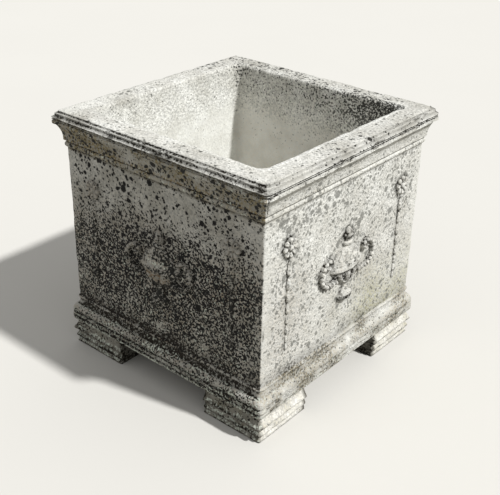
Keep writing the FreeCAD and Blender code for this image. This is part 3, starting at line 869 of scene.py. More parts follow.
@dataclass
class Urn:
    """A covered urn in low relief: a gadrooned bowl on a foot, a lobed lid with a bud, and two scroll handles."""

    foot: float = 162.0
    height: float = 120.0
    half_width: float = 40.0
    relief: float = 13.0
    arm_root: float = 26.0
    arm_rise: float = 37.2
    arm_length: float = 19.0
    arm_bend: float = 22.0
    curl: float = 7.0
    arm_half_width: float = 3.75
    arm_relief: float = 9.0
    arm_lobe: float = 8.0
    # Where the handle's bend and its curl end, in degrees, and the points along the curl
    bend_end: float = 80.0
    curl_end: float = 330.0
    curl_points: int = 34
    lobes: int = 11
    # Share of the height, of the half width and of the relief, from foot to bud
    stations: tuple[tuple[float, float, float], ...] = (
        (0.000, 0.45, 0.75), (0.045, 0.45, 0.75), (0.085, 0.24, 0.55), (0.150, 0.14, 0.32), (0.215, 0.14, 0.32),
        (0.240, 0.34, 0.62), (0.320, 0.74, 0.86), (0.420, 0.92, 0.90), (0.455, 1.00, 1.04), (0.505, 1.00, 1.04),
        (0.515, 0.90, 0.88), (0.620, 0.76, 0.82), (0.705, 0.50, 0.70), (0.755, 0.24, 0.52), (0.770, 0.30, 0.60),
        (0.805, 0.30, 0.60), (0.820, 0.18, 0.40), (0.900, 0.28, 0.68), (0.960, 0.18, 0.40), (1.000, 0.04, 0.09),
    )

    def half_width_at(self, rise: np.ndarray) -> np.ndarray:
        """Half the urn's width at heights above the ground, and nothing beyond its ends."""
        share, width, _ = np.array(self.stations).T
        return np.interp((rise - self.foot) / self.height, share, width * self.half_width, left=0.0, right=0.0)

    def vessel(self) -> Skin:
        """The urn without its handles.

        Each section is an arch (1 - u^2)^0.62 of the local half width and relief, closed by a flat back inside the
        wall. The bowl and the lid are ribbed by |sin(lobes * angle / 2)|, which sinks the hollows between lobes.

        Returns:
            The closed surface, made for the front.
        """
        share, width, proud = np.array(self.stations).T
        rows = np.linspace(0.0, 1.0, 150)
        across, depth, angle = arch_section(44, 8)
        half = np.interp(rows, share, width)[:, None] * self.half_width
        out = np.interp(rows, share, proud)[:, None] * self.relief
        bowl = smooth_step(0.235, 0.27, rows) * smooth_step(0.45, 0.40, rows)
        lid = smooth_step(0.52, 0.55, rows) * smooth_step(0.74, 0.69, rows)
        rib = 1.0 - np.abs(np.sin(self.lobes * angle / 2.0))
        hollow = rib[None, :] ** 0.9 * (0.5 * bowl + 0.2 * lid)[:, None]
        front = depth[None, :] > 0.0
        stand = np.where(front, out * depth[None, :] * (1.0 - hollow), depth[None, :])
        rise = np.broadcast_to((self.foot + rows * self.height)[:, None], stand.shape)
        points = np.stack([half * across[None, :], -(FACE + stand), rise], axis=-1)
        points[..., 1] -= np.where(front, 0.9 * rough_noise(points, 8.0, 31) * depth[None, :], 0.0)
        lean = -grid_normals(points, False)[..., 2]
        under = smooth_step(0.2, 0.8, lean) * front
        worn = smooth_step(0.2, 0.45, rough_noise(points, 12.0, 37))
        # Painted shade, partly dirt: dark lines below and above the urn's lip, on its foot and over its bud
        lines = bell(0.435, 0.014, rows) + 0.6 * bell(0.518, 0.01, rows)
        lines = lines + 0.9 * smooth_step(0.06, 0.03, rows)
        lines = lines + 0.9 * smooth_step(0.81, 0.84, rows) * smooth_step(1.04, 0.9, rows)
        # Painted shade, partly dirt, on the undersides, in the flutes and along the edges by the wall
        soil_and_shade = 0.3 * under + 2.4 * smooth_step(0.14, 0.26, hollow) + 0.3 * worn + lines[:, None]
        rounded = (0.25 + 0.45 * smooth_step(0.5, 0.42, rows))[:, None] * smooth_step(0.5, 0.2, depth)[None, :]
        soil_and_shade = np.clip(soil_and_shade + 0.3 * bowl[:, None] + rounded * front, 0.0, 1.2)
        marks = relief_marks(points, soil_and_shade)
        middle = np.array([0.0, -FACE, self.foot])
        return stacked(points, middle, middle + np.array([0.0, 0.0, self.height]), marks)

    def handle(self) -> Skin:
        """The right-hand handle: a leaf-lobed band along a level arm, a rising bend and a tight curl.

        The path's direction turns evenly along each of its three runs. Its sections are arches across the path,
        thinning towards the eye of the curl. Along it the band swells in lobes with |sin(pi * run / lobe)|.

        Returns:
            The closed surface, made for the front.
        """
        low = self.foot + self.arm_rise
        level = np.linspace(self.arm_root, self.arm_root + self.arm_length, 19)[:-1]
        arm = np.stack([level, np.full_like(level, low)], axis=-1)
        centre = np.array([self.arm_root + self.arm_length, low + self.arm_bend])
        turn = np.radians(np.linspace(-90.0, self.bend_end, 64)[:-1])
        bend = centre + self.arm_bend * np.stack([np.cos(turn), np.sin(turn)], axis=-1)
        last = np.radians(self.bend_end)
        eye = centre + (self.arm_bend - self.curl) * np.array([np.cos(last), np.sin(last)])
        spin = np.radians(np.linspace(self.bend_end, self.curl_end, self.curl_points))
        curl = eye + self.curl * np.stack([np.cos(spin), np.sin(spin)], axis=-1)
        path = np.concatenate([arm, bend, curl])
        way = np.gradient(path, axis=0)
        way /= np.linalg.norm(way, axis=1, keepdims=True)
        square = np.stack([way[:, 1], -way[:, 0]], axis=-1)
        count = len(path)
        thin = np.interp(np.arange(count), [0, count - self.curl_points, count - 1], [1.0, 0.9, 0.55])[:, None]
        run = np.cumsum(np.linalg.norm(np.diff(path, axis=0, prepend=path[:1]), axis=1))
        lobe = np.abs(np.sin(np.pi * run / self.arm_lobe))[:, None]
        across, depth, _ = arch_section(14, 4)
        side = across[None, :] * self.arm_half_width * thin * (0.82 + 0.18 * lobe)
        ridge = np.sqrt(np.maximum(depth, 0.0))[None, :]
        stand = self.arm_relief * ridge * thin ** 0.5 * (0.6 + 0.4 * lobe ** 0.7)
        stand = np.where(depth[None, :] > 0.0, stand, depth[None, :])
        place = path[:, None, :] + square[:, None, :] * side[..., None]
        points = np.stack([place[..., 0], -(FACE + stand), place[..., 1]], axis=-1)
        points[..., 1] -= 0.8 * rough_noise(points, 8.0, 33) * ridge
        worn = smooth_step(0.2, 0.45, rough_noise(points, 12.0, 39))
        # Painted shade, partly dirt, along the band's edges by the wall and in the dips between its lobes
        soil_and_shade = 0.6 * smooth_step(0.6, 0.2, depth)[None, :] + 1.4 * (1.0 - lobe) ** 2 + 0.3 * worn
        soil_and_shade = np.clip(soil_and_shade, 0.0, 1.0)
        ends = [np.array([path[row, 0], -FACE, path[row, 1]]) for row in (0, -1)]
        return stacked(points, ends[0], ends[1], relief_marks(points, soil_and_shade))

    def dress(self, finish: Material) -> None:
        """Set an urn on every face.

        Args:
            finish: Its material.
        """
        right = self.handle()
        turned_round = [block[:, ::-1] for block in right.faces]
        left = Skin(right.points * np.array([-1.0, 1.0, 1.0]), turned_round, right.marks)
        whole = joined([self.vessel(), right, left])
        for side in Side:
            name = f"urn_{side.name.lower()}"
            add_piece(f"{name}_relief", weathered_for(whole.turned(side), side), name, finish)


def arch_section(front: int, back: int) -> tuple[np.ndarray, np.ndarray, np.ndarray]:
    """One section of a relief, as a closed ring about the wall's plane.

    The front runs from -1 to 1 as -cos(angle), and stands out by (1 - across^2)^0.62. The back is flat, inside
    the wall.

    Args:
        front: Points along the arch.
        back: Points along the flat.

    Returns:
        Place across as a share of the half width, stand as a share of the relief, or millimetres behind the
        plane as a negative number, and the angle along the arch.
    """
    angle = np.linspace(0.0, np.pi, front)
    arch = np.maximum(np.sin(angle) ** 2, 1e-4) ** 0.62
    across = np.concatenate([-np.cos(angle), np.linspace(1.0, -1.0, back)])
    depth = np.concatenate([arch, np.full(back, -SEAT)])
    return across, depth, np.concatenate([angle, np.zeros(back)])


def relief_marks(points: np.ndarray, soil_and_shade: np.ndarray) -> dict[Mark, np.ndarray]:
    """Weathering of an ornament before it is set on a face.

    Args:
        points: The ornament's points, for the patches.
        soil_and_shade: Dark that its own hollows and edges hold, partly dirt and partly painted shade.

    Returns:
        An amount of each mark for each point.
    """
    patch = rough_noise(points, 26.0, 57)
    nothing = np.zeros(points.shape[:-1])
    dirt_and_shade = soil_and_shade * (0.9 + 0.7 * rough_noise(points, 8.0, 61))
    return {Mark.LICHEN: 0.6 + 0.3 * patch, Mark.PEPPER: 0.8 + 0.3 * patch, Mark.SOIL_AND_SHADE: dirt_and_shade, Mark.MOSS: nothing,
            Mark.CRUST_AND_HIGHLIGHT: nothing, Mark.GRIME_AND_SHADE: nothing, Mark.EARTH: nothing}


def weathered_for(skin: Skin, side: Side) -> Skin:
    """An ornament weathered as the face that it stands on.

    Args:
        skin: The ornament in its place.
        side: The face.

    Returns:
        The same surface with the face's grime, painted shade, lichen and earth on it. On the most overgrown faces
        a painted highlight lies pale across the urn's lid, and the sheltered underside of its bowl stays bare and
        brown.
    """
    face = EXPOSURES[side]
    marks = dict(skin.marks)
    z = skin.points[:, 2]
    middle = smooth_step(34.0, 16.0, np.abs(skin.points[:, :2]).min(axis=1))
    shaded = face.shaded()
    lid_highlight, bare = [shaded * middle * bell(level, half, z) for level, half in (LID_HIGHLIGHT, BARE_BOWL)]
    grown = 1.0 - np.clip(0.5 * lid_highlight + 0.7 * bare, 0.0, 1.0)
    growth = face.growth(smooth_step(330.0, 215.0, z))
    overgrown = shaded * smooth_step(310.0, 212.0, z)
    # Grime on the ornament as on its face, partly painted shade
    marks[Mark.GRIME_AND_SHADE] = np.full_like(z, 0.85 * face.grime_and_shade)
    marks[Mark.LICHEN] = marks[Mark.LICHEN] * (0.3 + 0.8 * growth) * grown
    marks[Mark.PEPPER] = marks[Mark.PEPPER] * growth * (0.75 + 0.6 * overgrown) * grown
    # The ornament's dirt and painted shade, strongest on the sunny faces
    marks[Mark.SOIL_AND_SHADE] = marks[Mark.SOIL_AND_SHADE] * (1.0 - 0.6 * face.grime_and_shade) * grown
    marks[Mark.EARTH] = face.earth + 0.4 * bare
    # Pale crust, with the painted highlight across the lid
    marks[Mark.CRUST_AND_HIGHLIGHT] = marks[Mark.CRUST_AND_HIGHLIGHT] + 0.85 * lid_highlight
    return Skin(skin.points, skin.faces, marks)


@dataclass
class Rosette:
    """A small flower of eight petals round a boss."""

    across: float = 143.5
    rise: float = 302.5
    radius: float = 15.5
    relief: float = 6.0
    petals: int = 8
    # Share of the radius and of the relief, from the middle of the boss to the petals' tips
    profile: tuple[tuple[float, float], ...] = (
        (0.0, 1.0), (0.14, 0.98), (0.24, 0.86), (0.30, 0.50), (0.40, 0.46), (0.62, 0.74), (0.82, 0.86),
        (0.94, 0.74), (1.0, 0.45),
    )

    def flower(self) -> Skin:
        """The flower about the middle of the front.

        The petals' edge is at radius * (0.8 + 0.2 * |cos(petals * angle / 2)|^0.7). Between them the relief sinks
        with (1 - |cos(petals * angle / 2)|)^2, more towards the edge.

        Returns:
            The closed surface.
        """
        share, proud = np.array(self.profile).T
        rows = np.linspace(0.04, 1.0, 24)
        angle = np.linspace(0.0, 2.0 * np.pi, 96, endpoint=False)
        wave = np.abs(np.cos(self.petals * angle / 2.0))
        edge = self.radius * (1.0 - smooth_step(0.3, 0.9, rows)[:, None] * 0.2 * (1.0 - wave[None, :] ** 0.7))
        sunk = smooth_step(0.3, 0.6, rows)[:, None] * (1.0 - wave[None, :]) ** 2
        stand = np.interp(rows, share, proud)[:, None] * self.relief * (1.0 - 0.8 * sunk)
        out = rows[:, None] * edge
        behind = np.stack([out[-1], 0.5 * out[-1]])
        out = np.concatenate([behind[::-1], out[::-1]])
        stand = np.concatenate([np.full((2, len(angle)), -SEAT), stand[::-1]])
        points = np.stack([out * np.cos(angle), -(FACE + stand), self.rise + out * np.sin(angle)], axis=-1)
        # Painted shade, partly dirt, between the petals, in the dip round the boss and at the flower's foot
        gap = np.concatenate([np.ones((2, len(angle))), sunk[::-1]])
        ring = np.concatenate([np.zeros(2), bell(0.35, 0.07, rows[::-1])])
        soil_and_shade = np.clip(1.5 * gap + ring[:, None], 0.0, 1.0)
        back = np.array([0.0, SEAT - FACE, self.rise])
        front = np.array([0.0, -FACE - self.relief, self.rise])
        return stacked(points, back, front, relief_marks(points, soil_and_shade))

    def dress(self, finish: Material) -> None:
        """Set two on every face."""
        set_pairs(self.flower(), "rosette", self.across, finish)


def set_pairs(skin: Skin, name: str, across: float, finish: Material) -> None:
    """Set an ornament to the left and right of the middle of every face.

    Args:
        skin: The ornament about the middle of the front.
        name: What it is called.
        across: How far from the middle it goes.
        finish: Its material.
    """
    for side in Side:
        for hand, sign in (("left", -1.0), ("right", 1.0)):
            moved = Skin(skin.points + np.array([sign * across, 0.0, 0.0]), skin.faces, skin.marks)
            node = f"{name}_{side.name.lower()}_{hand}"
            add_piece(f"{node}_relief", weathered_for(moved.turned(side), side), node, finish)


@dataclass
class HuskDrop:
    """A string of bell-shaped husks that get smaller downwards."""

    across: float = 143.5
    top: float = 282.0
    bottom: float = 133.0
    husks: int = 8
    ratio: float = 0.92
    half_width: float = 5.5
    neck: float = 0.35
    lip: float = 0.78

    def string(self) -> Skin:
        """The string about the middle of the front.

        Each husk takes the last one's length times the ratio. Down its length it flares from its neck to its lip
        as a sine, then draws in to the next neck. Its section is an arch with three soft lobes.

        Returns:
            The closed surface.
        """
        number = np.arange(self.husks)
        lengths = self.ratio ** number
        ends = np.concatenate([[0.0], np.cumsum(lengths)]) / lengths.sum()
        rows = np.linspace(0.0, 1.0, 145)
        which = np.clip(np.searchsorted(ends, rows, side="right") - 1, 0, self.husks - 1)
        part = (rows - ends[which]) / (ends[which + 1] - ends[which])
        flare = np.sin(np.clip(part / self.lip, 0.0, 1.0) * np.pi / 2.0) ** 1.3
        close = np.sqrt(np.clip((1.0 - part) / (1.0 - self.lip), 0.0, 1.0))
        size = self.half_width * self.ratio ** which * (self.neck + (1.0 - self.neck) * np.minimum(flare, close))
        across, depth, angle = arch_section(20, 5)
        lobed = 1.0 - 0.2 * (1.0 - np.abs(np.sin(1.5 * angle)))[None, :] * smooth_step(0.3, 0.8, part)[:, None]
        stand = np.where(depth[None, :] > 0.0, size[:, None] * 0.95 * depth[None, :] * lobed, depth[None, :])
        rise = np.broadcast_to((self.top - rows * (self.top - self.bottom))[:, None], stand.shape)
        points = np.stack([size[:, None] * across[None, :], -(FACE + stand), rise], axis=-1)[::-1]
        # Painted shade, partly dirt, at each husk's neck and along the string's edges by the wall
        hollow = np.maximum(smooth_step(0.86, 0.98, part), smooth_step(0.16, 0.02, part))[::-1, None]
        rim = smooth_step(0.6, 0.1, depth)[None, :]
        soil_and_shade = np.clip(hollow + 0.9 * rim, 0.0, 1.0)
        foot, head = np.array([0.0, -FACE, self.bottom]), np.array([0.0, -FACE, self.top])
        return stacked(points, foot, head, relief_marks(points, soil_and_shade))

    def dress(self, finish: Material) -> None:
        """Set two on every face."""
        set_pairs(self.string(), "husk_drop", self.across, finish)


@dataclass
class PlanterBody:
    """The casting: walls, floor, stepped rim with its cornice, and moulded plinth, as one closed surface."""

    urn: Urn
    rosette: Rosette
    drops: HuskDrop
    drain: float = 15.0
    underside: float = 47.0
    floor: float = 92.0
    floor_half: float = 157.0
    mouth_half: float = 169.0
    top: float = 418.0
    wall_foot: float = 92.0
    wall_head: float = 358.5
    # Just under the head of the cove: from the wall up to here the casting is worn least
    cove_head: float = 396.0
    inner_corner: float = 16.0
    arris: float = 3.0
    lip: float = 3.0
    straight: int = 80
    bend: int = 6
    # The reach and the rise that hold the plinth's two grooves
    groove_reach: tuple[float, float] = (207.0, 208.6)
    groove_rise: tuple[float, float] = (52.0, 63.0)
    groove_depth: float = 1.5
    plinth_knock: float = 4.5
    # The two rim corners that have lost most: place in the ring, loss, and the rises where it starts and is full
    rim_knocks: tuple[tuple[int, float, float, float], ...] = ((0, 6.0, 398.0, 410.0), (3, 4.5, 394.0, 404.0))

    def outside(self) -> list[Place]:
        """The moulded side from the underside's edge to the rim's flat: reach from the middle, and rise.

        Returns:
            Its corners, and the points along its curves.
        """
        torus_low, torus_high = (209.5, 65.0), (203.5, 77.0)
        cavetto_low, cavetto_high = (202.5, 77.0), (200.8, 86.0)
        bead_high = (200.8, 92.0)
        wall_low, wall_high, astragal_high = (FACE, self.wall_foot), (FACE, self.wall_head), (FACE, 368.5)
        cove_low, cove_high = (203.5, 374.0), (211.5, 396.5)
        return [
            (210.0, self.underside), (210.0, 52.5), (208.0, 52.5), (208.0, 54.0), (210.0, 54.0), (210.0, 61.0),
            (208.0, 61.0), (208.0, 62.5), (209.5, 62.5),
            torus_low, *upright_arc(torus_low, torus_high, 7), torus_high,
            cavetto_low, *upright_arc(cavetto_high, cavetto_low, 5)[::-1], cavetto_high,
            *swelling(cavetto_high, bead_high, 1.7, 5), bead_high,
            wall_low, wall_high, *swelling(wall_high, astragal_high, 3.3, 7), astragal_high,
            (FACE, 370.0), (203.5, 370.0),
            cove_low, *upright_arc(cove_low, cove_high, 9), cove_high,
            (214.5, 396.5), (214.5, 402.3), (212.5, 402.3), (212.5, 403.9), (214.5, 403.9), (214.5, 405.4),
            (212.5, 405.4), (212.5, 407.0), (215.0, 407.0), (215.0, 407.7), (211.0, 410.5), (211.0, 414.6),
            (207.0, 415.5), (207.0, self.top),
        ]

    def profile(self) -> np.ndarray:
        """The whole closed section, from the drain out, up, over and down again.

        Returns:
            Reach, rise, corner radius and roundness of each ring.
        """
        side = self.outside()
        loop = [(self.drain, self.underside), *side, (self.mouth_half, self.top), (self.floor_half, self.floor),
                (self.drain, self.floor)]
        outer = len(side)
        corner = [self.drain, *[self.arris] * outer, self.inner_corner, self.inner_corner, self.drain]
        roundness = [1.0, *[0.0] * outer, 0.0, 0.0, 1.0]
        # The drain, the underside's edge, the mouldings, the rim's edge, the mouth's lip, the floor and the drain
        rounding = np.array([1.0, 1.2, *[0.6] * (outer - 2), 1.6, self.lip * 1.3, 6.0, 2.0])
        spacing = np.array([16.0, *[4.0] * outer, 8.0, 14.0, 12.0])
        full = np.column_stack([np.array(loop), corner, roundness, spacing])
        line = eased(full, rounding, True)
        return filled_in(line, line[:, 4], True)[:, :4]

    def knocked(self, rise: np.ndarray) -> np.ndarray:
        """How much wider than cast each outer corner is worn: noise up the corner, the plinth and two rim corners.

        Args:
            rise: Height of each ring.

        Returns:
            Millimetres for each ring, one column for each corner.
        """
        # A line of noise up each corner, far enough apart that no two corners are knocked alike
        lines = np.stack(np.broadcast_arrays(50.0, np.arange(4) * 90.0, rise[:, None]), axis=-1)
        loss = 2.0 * np.maximum(rough_noise(lines, 30.0, 5), 0.0)
        loss += self.plinth_knock * smooth_step(self.wall_foot + 1.0, self.wall_foot - 4.0, rise)[:, None]
        for corner, most, low, high in self.rim_knocks:
            loss[:, corner] += most * smooth_step(low, high, rise)
        return loss

    def surface(self) -> Skin:
        """The casting's worn and weathered surface.

        The section is carried round rounded squares. Each point then moves along its outward direction: in and out
        with soft noise all over, and inwards along the arrises where coarser noise is high, which chips them.

        Returns:
            The closed surface.
        """
        profile = self.profile()
        reach, rise, corner, roundness = profile.T
        edge, hollow = creases(profile, True, 1.7)
        outside = corner < self.arris + 0.1
        corners = corner[:, None] + np.where(outside[:, None], self.knocked(rise), 0.0)
        flat = square_rings(reach, corners, roundness, self.straight, self.bend)
        points = with_rise(flat, rise)
        out = grid_normals(points, True)

        bedded = np.where(rise > self.underside + 0.5, 1.0, 0.15)[:, None]
        upright = self.along_and_edge(points, reach)[1]
        moulded = (rise < self.wall_foot) | (rise > self.wall_head)
        arris = np.maximum(edge[:, None], 0.5 * bell(0.0, 4.0, upright) * (outside & moulded)[:, None])
        chips = np.maximum(rough_noise(points, 15.0, 11) - 0.1, 0.0)
        skin = 0.35 * rough_noise(points, 22.0, 3) + 0.22 * rough_noise(points, 9.0, 7)
        cornice = (rise > self.wall_head) & (rise < self.cove_head)
        eroded = np.select([rise < self.wall_foot, cornice], [1.6, 0.45], 1.0)[:, None]
        # On the sunny sides the plinth's grooves are worn shallow
        grooves = between(self.groove_reach, reach) & between(self.groove_rise, rise) & outside
        shallow = self.groove_depth * grooves[:, None] * (1.0 - self.exposure(flat.shape[1]).grime_and_shade)
        shift = (skin * eroded - 1.5 * arris * chips * eroded) * bedded - 0.3 * arris + shallow
        points = points + out * shift[..., None]
        weather = BodyWeather(self, points, reach, rise, edge[:, None], hollow[:, None], arris * chips)
        return Skin(points.reshape(-1, 3), [ring_faces(len(rise), flat.shape[1], True)], weather.marks())

    def quarters(self, columns: int) -> np.ndarray:
        """Which face each point round a ring is on, as a place in the rings' order."""
        return ((np.arange(columns) + self.bend // 2) // (self.straight + self.bend)) % 4

    def along_and_edge(self, points: np.ndarray, reach: np.ndarray) -> tuple[np.ndarray, np.ndarray]:
        """Where each point is across its own face.

        Args:
            points: Rings of points.
            reach: Half the width of each ring.

        Returns:
            Place from the middle of the face, and distance in from the face's nearer upright edge.
        """
        ways = np.array([way for _, way in RING_ORDER], dtype=float)[self.quarters(points.shape[1])]
        along = points[..., 0] * ways[:, 0] + points[..., 1] * ways[:, 1]
        return along, np.maximum(reach[:, None] - np.abs(along), 0.0)

    def exposure(self, columns: int) -> Exposure:
        """The faces' exposures, for each point round a ring."""
        faces = np.array([astuple(EXPOSURES[side]) for side, _ in RING_ORDER])
        return Exposure(*faces[self.quarters(columns)].T)

    def dress(self, finish: Material) -> None:
        """Make the casting."""
        add_piece("planter_body_stone", self.surface(), "planter_body", finish)


@dataclass
class BodyWeather:
    """What the weather meets at each point of the casting, and the marks that it leaves there.

    Each mark is worked out for five areas: the walls, the rim, the cornice, the plinth and the inside. In the
    formulas the two ends of a smooth step are where a mark starts and is full, in millimetres, and the other bare
    numbers are shares of a full mark.
    """

    body: PlanterBody
    points: np.ndarray
    reach: np.ndarray
    rise: np.ndarray
    edge: np.ndarray
    hollow: np.ndarray
    chipped: np.ndarray
    patch_size: float = 75.0
    fleck_size: float = 28.0
    rim_foot: float = 406.8
    rim_grooves: tuple[float, float] = (402.0, 407.3)
    rim_groove_reach: float = 213.3
    rim_step_reach: float = 205.0
    # Level, half height and strength of the black lines of painted shade, partly dirt, under the rim's two steps
    rim_steps: tuple[tuple[float, float, float], ...] = ((412.2, 1.7, 1.0), (416.4, 1.3, 0.5))
    # Levels of the plinth's notches, darkened with painted shade and dirt
    plinth_notches: tuple[float, ...] = (53.3, 62.5)
    notch_half: float = 2.2
    # Level and half sizes of the growth about the urn
    urn_level: float = 225.0
    urn_across: float = 85.0
    urn_up: float = 70.0
    # Middle and half height of the painted shade beside the urn's sides, and the middle of its handles above its
    # foot
    urn_middle: float = 222.0
    urn_half: float = 62.0
    handle_middle: float = 59.0

    def __post_init__(self) -> None:
        """Find each point's place on its face, the area that it is in, and how thick the growth is there."""
        body = self.body
        self.x, self.y, self.z = np.moveaxis(self.points, -1, 0)
        self.along, self.margin = body.along_and_edge(self.points, self.reach)
        self.face = body.exposure(self.points.shape[1])
        self.shaded = self.face.shaded()
        self.patch = rough_noise(self.points, self.patch_size, 17)
        self.fleck = rough_noise(self.points, self.fleck_size, 23)

        # The highest ring by the mouth is where the inside starts
        crest = int(np.argmax(np.where(self.reach < body.mouth_half + 8.0, self.rise, 0.0)))
        inside = np.broadcast_to((np.arange(len(self.rise)) >= crest)[:, None], self.z.shape)
        rim = ~inside & (self.z > self.rim_foot)
        cornice = ~inside & ~rim & (self.z > body.wall_head - 1.0)
        plinth = ~inside & (self.z < body.wall_foot)
        self.areas = [~(inside | rim | cornice | plinth), rim, cornice, plinth]

        uneven = self.z + 18.0 * self.patch + 16.0 * self.fleck
        uneven = uneven - 38.0 * self.face.grime_and_shade * smooth_step(10.0, 140.0, self.along)
        self.low = smooth_step(345.0, 200.0, uneven)
        self.overgrown = self.shaded * smooth_step(355.0, 200.0, uneven)
        off_corner = smooth_step(2.0, 24.0 - 8.0 * self.face.grime_and_shade, self.margin + 8.0 * self.fleck)
        self.corner_clear = 0.15 + 0.85 * off_corner
        self.to_near = smooth_step(60.0, 180.0, np.minimum(self.x, -self.y))
        self.to_left = smooth_step(90.0, 190.0, np.minimum(-self.x, -self.y))
        self.shaded_in = smooth_step(150.0, 158.0, self.y)

    def by_area(self, wall: Amount = 0.0, rim: Amount = 0.0, cornice: Amount = 0.0, plinth: Amount = 0.0,
                inside: Amount = 0.0) -> np.ndarray:
        """Take each point's amount from the area that it is in.

        Args:
            wall: Amounts for the walls.
            rim: Amounts for the rim.
            cornice: Amounts for the cornice.
            plinth: Amounts for the plinth and the underside.
            inside: Amounts for the cavity, its floor and the drain.

        Returns:
            One amount for each point.
        """
        return np.select(self.areas, [wall, rim, cornice, plinth], inside)

    def lichen(self) -> tuple[np.ndarray, np.ndarray]:
        """Lichen, which thickens down the shaded walls and about the urns, and thins by the upright edges.

        Returns:
            Round colonies, and the fine specks between them.
        """
        face, grime_and_shade, patch, fleck = self.face, self.face.grime_and_shade, self.patch, self.fleck
        clear = 0.55 + 0.45 * smooth_step(3.0, 20.0 + 25.0 * (1.0 - grime_and_shade), self.margin)
        clear = clear + (1.0 - clear) * 0.85 * self.overgrown
        near_urn = np.exp(-(self.along / self.urn_across) ** 2 - ((self.z - self.urn_level) / self.urn_up) ** 2)
        wall = face.growth(self.low) + face.lichen_urn * near_urn
        wall = (wall + 0.18 * patch + 0.18 * fleck) * clear
        rim = 0.48 + 0.15 * smooth_step(0.0, 150.0, self.y) + 0.25 * patch
        rim = rim * (1.0 - 0.75 * smooth_step(80.0, 190.0, np.minimum(self.x, self.y)))
        rim = rim * (1.0 - 0.35 * self.to_near - 0.5 * self.to_left)
        cornice = 0.38 + 0.3 * grime_and_shade + 0.25 * patch + 0.2 * fleck
        to_corner = 0.25 * self.shaded * smooth_step(-80.0, 100.0, self.along)
        plinth = (0.2 + face.lichen_low * 0.7 + 0.25 * fleck) * self.corner_clear
        inside = 0.36 + 0.2 * patch + self.shaded_in * (0.22 + 0.34 * smooth_step(-120.0, 120.0, self.x))
        inside = inside * smooth_step(250.0, 390.0, self.z)
        colonies = self.by_area(
            wall=wall - 0.42 * self.overgrown + 0.14 * grime_and_shade * (1.0 - self.low), rim=rim,
            cornice=cornice + to_corner, plinth=(0.1 + 0.4 * grime_and_shade) * plinth, inside=0.3 * inside)
        specks = self.by_area(
            wall=wall * (0.58 + 0.44 * self.overgrown), rim=0.7 * rim, cornice=0.7 * cornice, plinth=plinth,
            inside=inside)
        return colonies, specks

    def dirt_and_shade_by_ornaments(self) -> np.ndarray:
        """Dark on the wall beside and below the urn, along its handles, and round the rosettes and husks: painted
        shadow of the ornaments, partly dirt.

        Returns:
            One amount for each point.
        """
        urn, rosette, drops = self.body.urn, self.body.rosette, self.body.drops
        z, aside, grime_and_shade = self.z, np.abs(self.along), self.face.grime_and_shade
        # Beside the urn's outline: painted shade, partly dirt
        beside = smooth_step(9.0, 0.0, aside - urn.half_width_at(z)) * (np.abs(z - self.urn_middle) < self.urn_half)
        beside = beside * (0.35 + 0.65 * np.maximum(smooth_step(238.0, 214.0, z), smooth_step(256.0, 264.0, z)))
        # Painted shadow under the urn's foot
        below = bell(urn.foot - 3.0, 4.0, z) * smooth_step(24.0, 16.0, aside)
        arm = np.hypot(aside - urn.arm_root - urn.arm_length, z - urn.foot - urn.arm_rise - urn.arm_bend)
        # Painted shadow on the handles' lower and left sides
        handles = 0.25 + 0.75 * smooth_step(20.0, -15.0, z - urn.foot - self.handle_middle)
        handles = (0.6 - 0.4 * np.sign(self.along)) * handles * smooth_step(8.0, 4.0, np.abs(arm - urn.arm_bend))
        flower = np.hypot(aside - rosette.across, z - rosette.rise) - rosette.radius
        # Round the rosettes and along the husks, stronger on the sunny faces: painted shadow, partly dirt
        flowers = (1.0 - 0.9 * grime_and_shade) * smooth_step(7.0, 1.0, flower)
        beyond = (z > drops.top) | (z < drops.bottom)
        strings = (1.0 - 0.6 * grime_and_shade) * (0.95 + 0.8 * rough_noise(self.points, 34.0, 29))
        strings = strings * (0.5 + 0.5 * smooth_step(170.0, 260.0, z))
        strings = strings * smooth_step(8.0, 4.0, np.abs(aside - drops.across)) * ~beyond
        return np.max([0.8 * beside, 0.9 * below, handles, flowers, strings], axis=0)

    def soil_and_shade(self) -> np.ndarray:
        """Soil at the feet of the walls, and dark that is partly dirt and partly painted shade by the ornaments,
        in the mouldings' hollows and the rim's grooves, under the rim's steps and in the plinth's cavetto and
        notches.

        Returns:
            One amount for each point.
        """
        z, along, fleck, face = self.z, self.along, self.fleck, self.face
        middling = smooth_step(185.0, 120.0, np.abs(along + 40.0))
        at_foot = smooth_step(118.0, 93.0, z) * (0.15 + 0.55 * face.soil_and_shade) * (0.5 + 0.5 * middling)
        broken = 0.85 + 0.4 * fleck + 0.5 * rough_noise(self.points, 9.0, 43)
        on_wall = np.clip(self.dirt_and_shade_by_ornaments() + at_foot, 0.0, 1.0) * broken
        # Dirt and painted shade in the mouldings' hollows
        hollows = face.soil_and_shade * 1.1 * self.hollow * (0.85 + 0.5 * fleck)

        # Painted shade, with some dirt, in the rim's grooves, strongest on the sunny faces
        grooved = (between(self.rim_grooves, self.rise) & (self.reach < self.rim_groove_reach))[:, None]
        grooves = (0.95 - 0.75 * face.grime_and_shade) * (1.0 + 0.35 * fleck)
        # Painted shade, with some dirt, on the risers of the rim's steps on the shaded faces
        steps = np.sum([strength * bell(level, half, z) for level, half, strength in self.rim_steps], axis=0)
        on_steps = (self.reach > self.rim_step_reach)[:, None]
        steps = 0.75 * self.shaded * on_steps * steps * (1.0 - 0.7 * self.to_left)

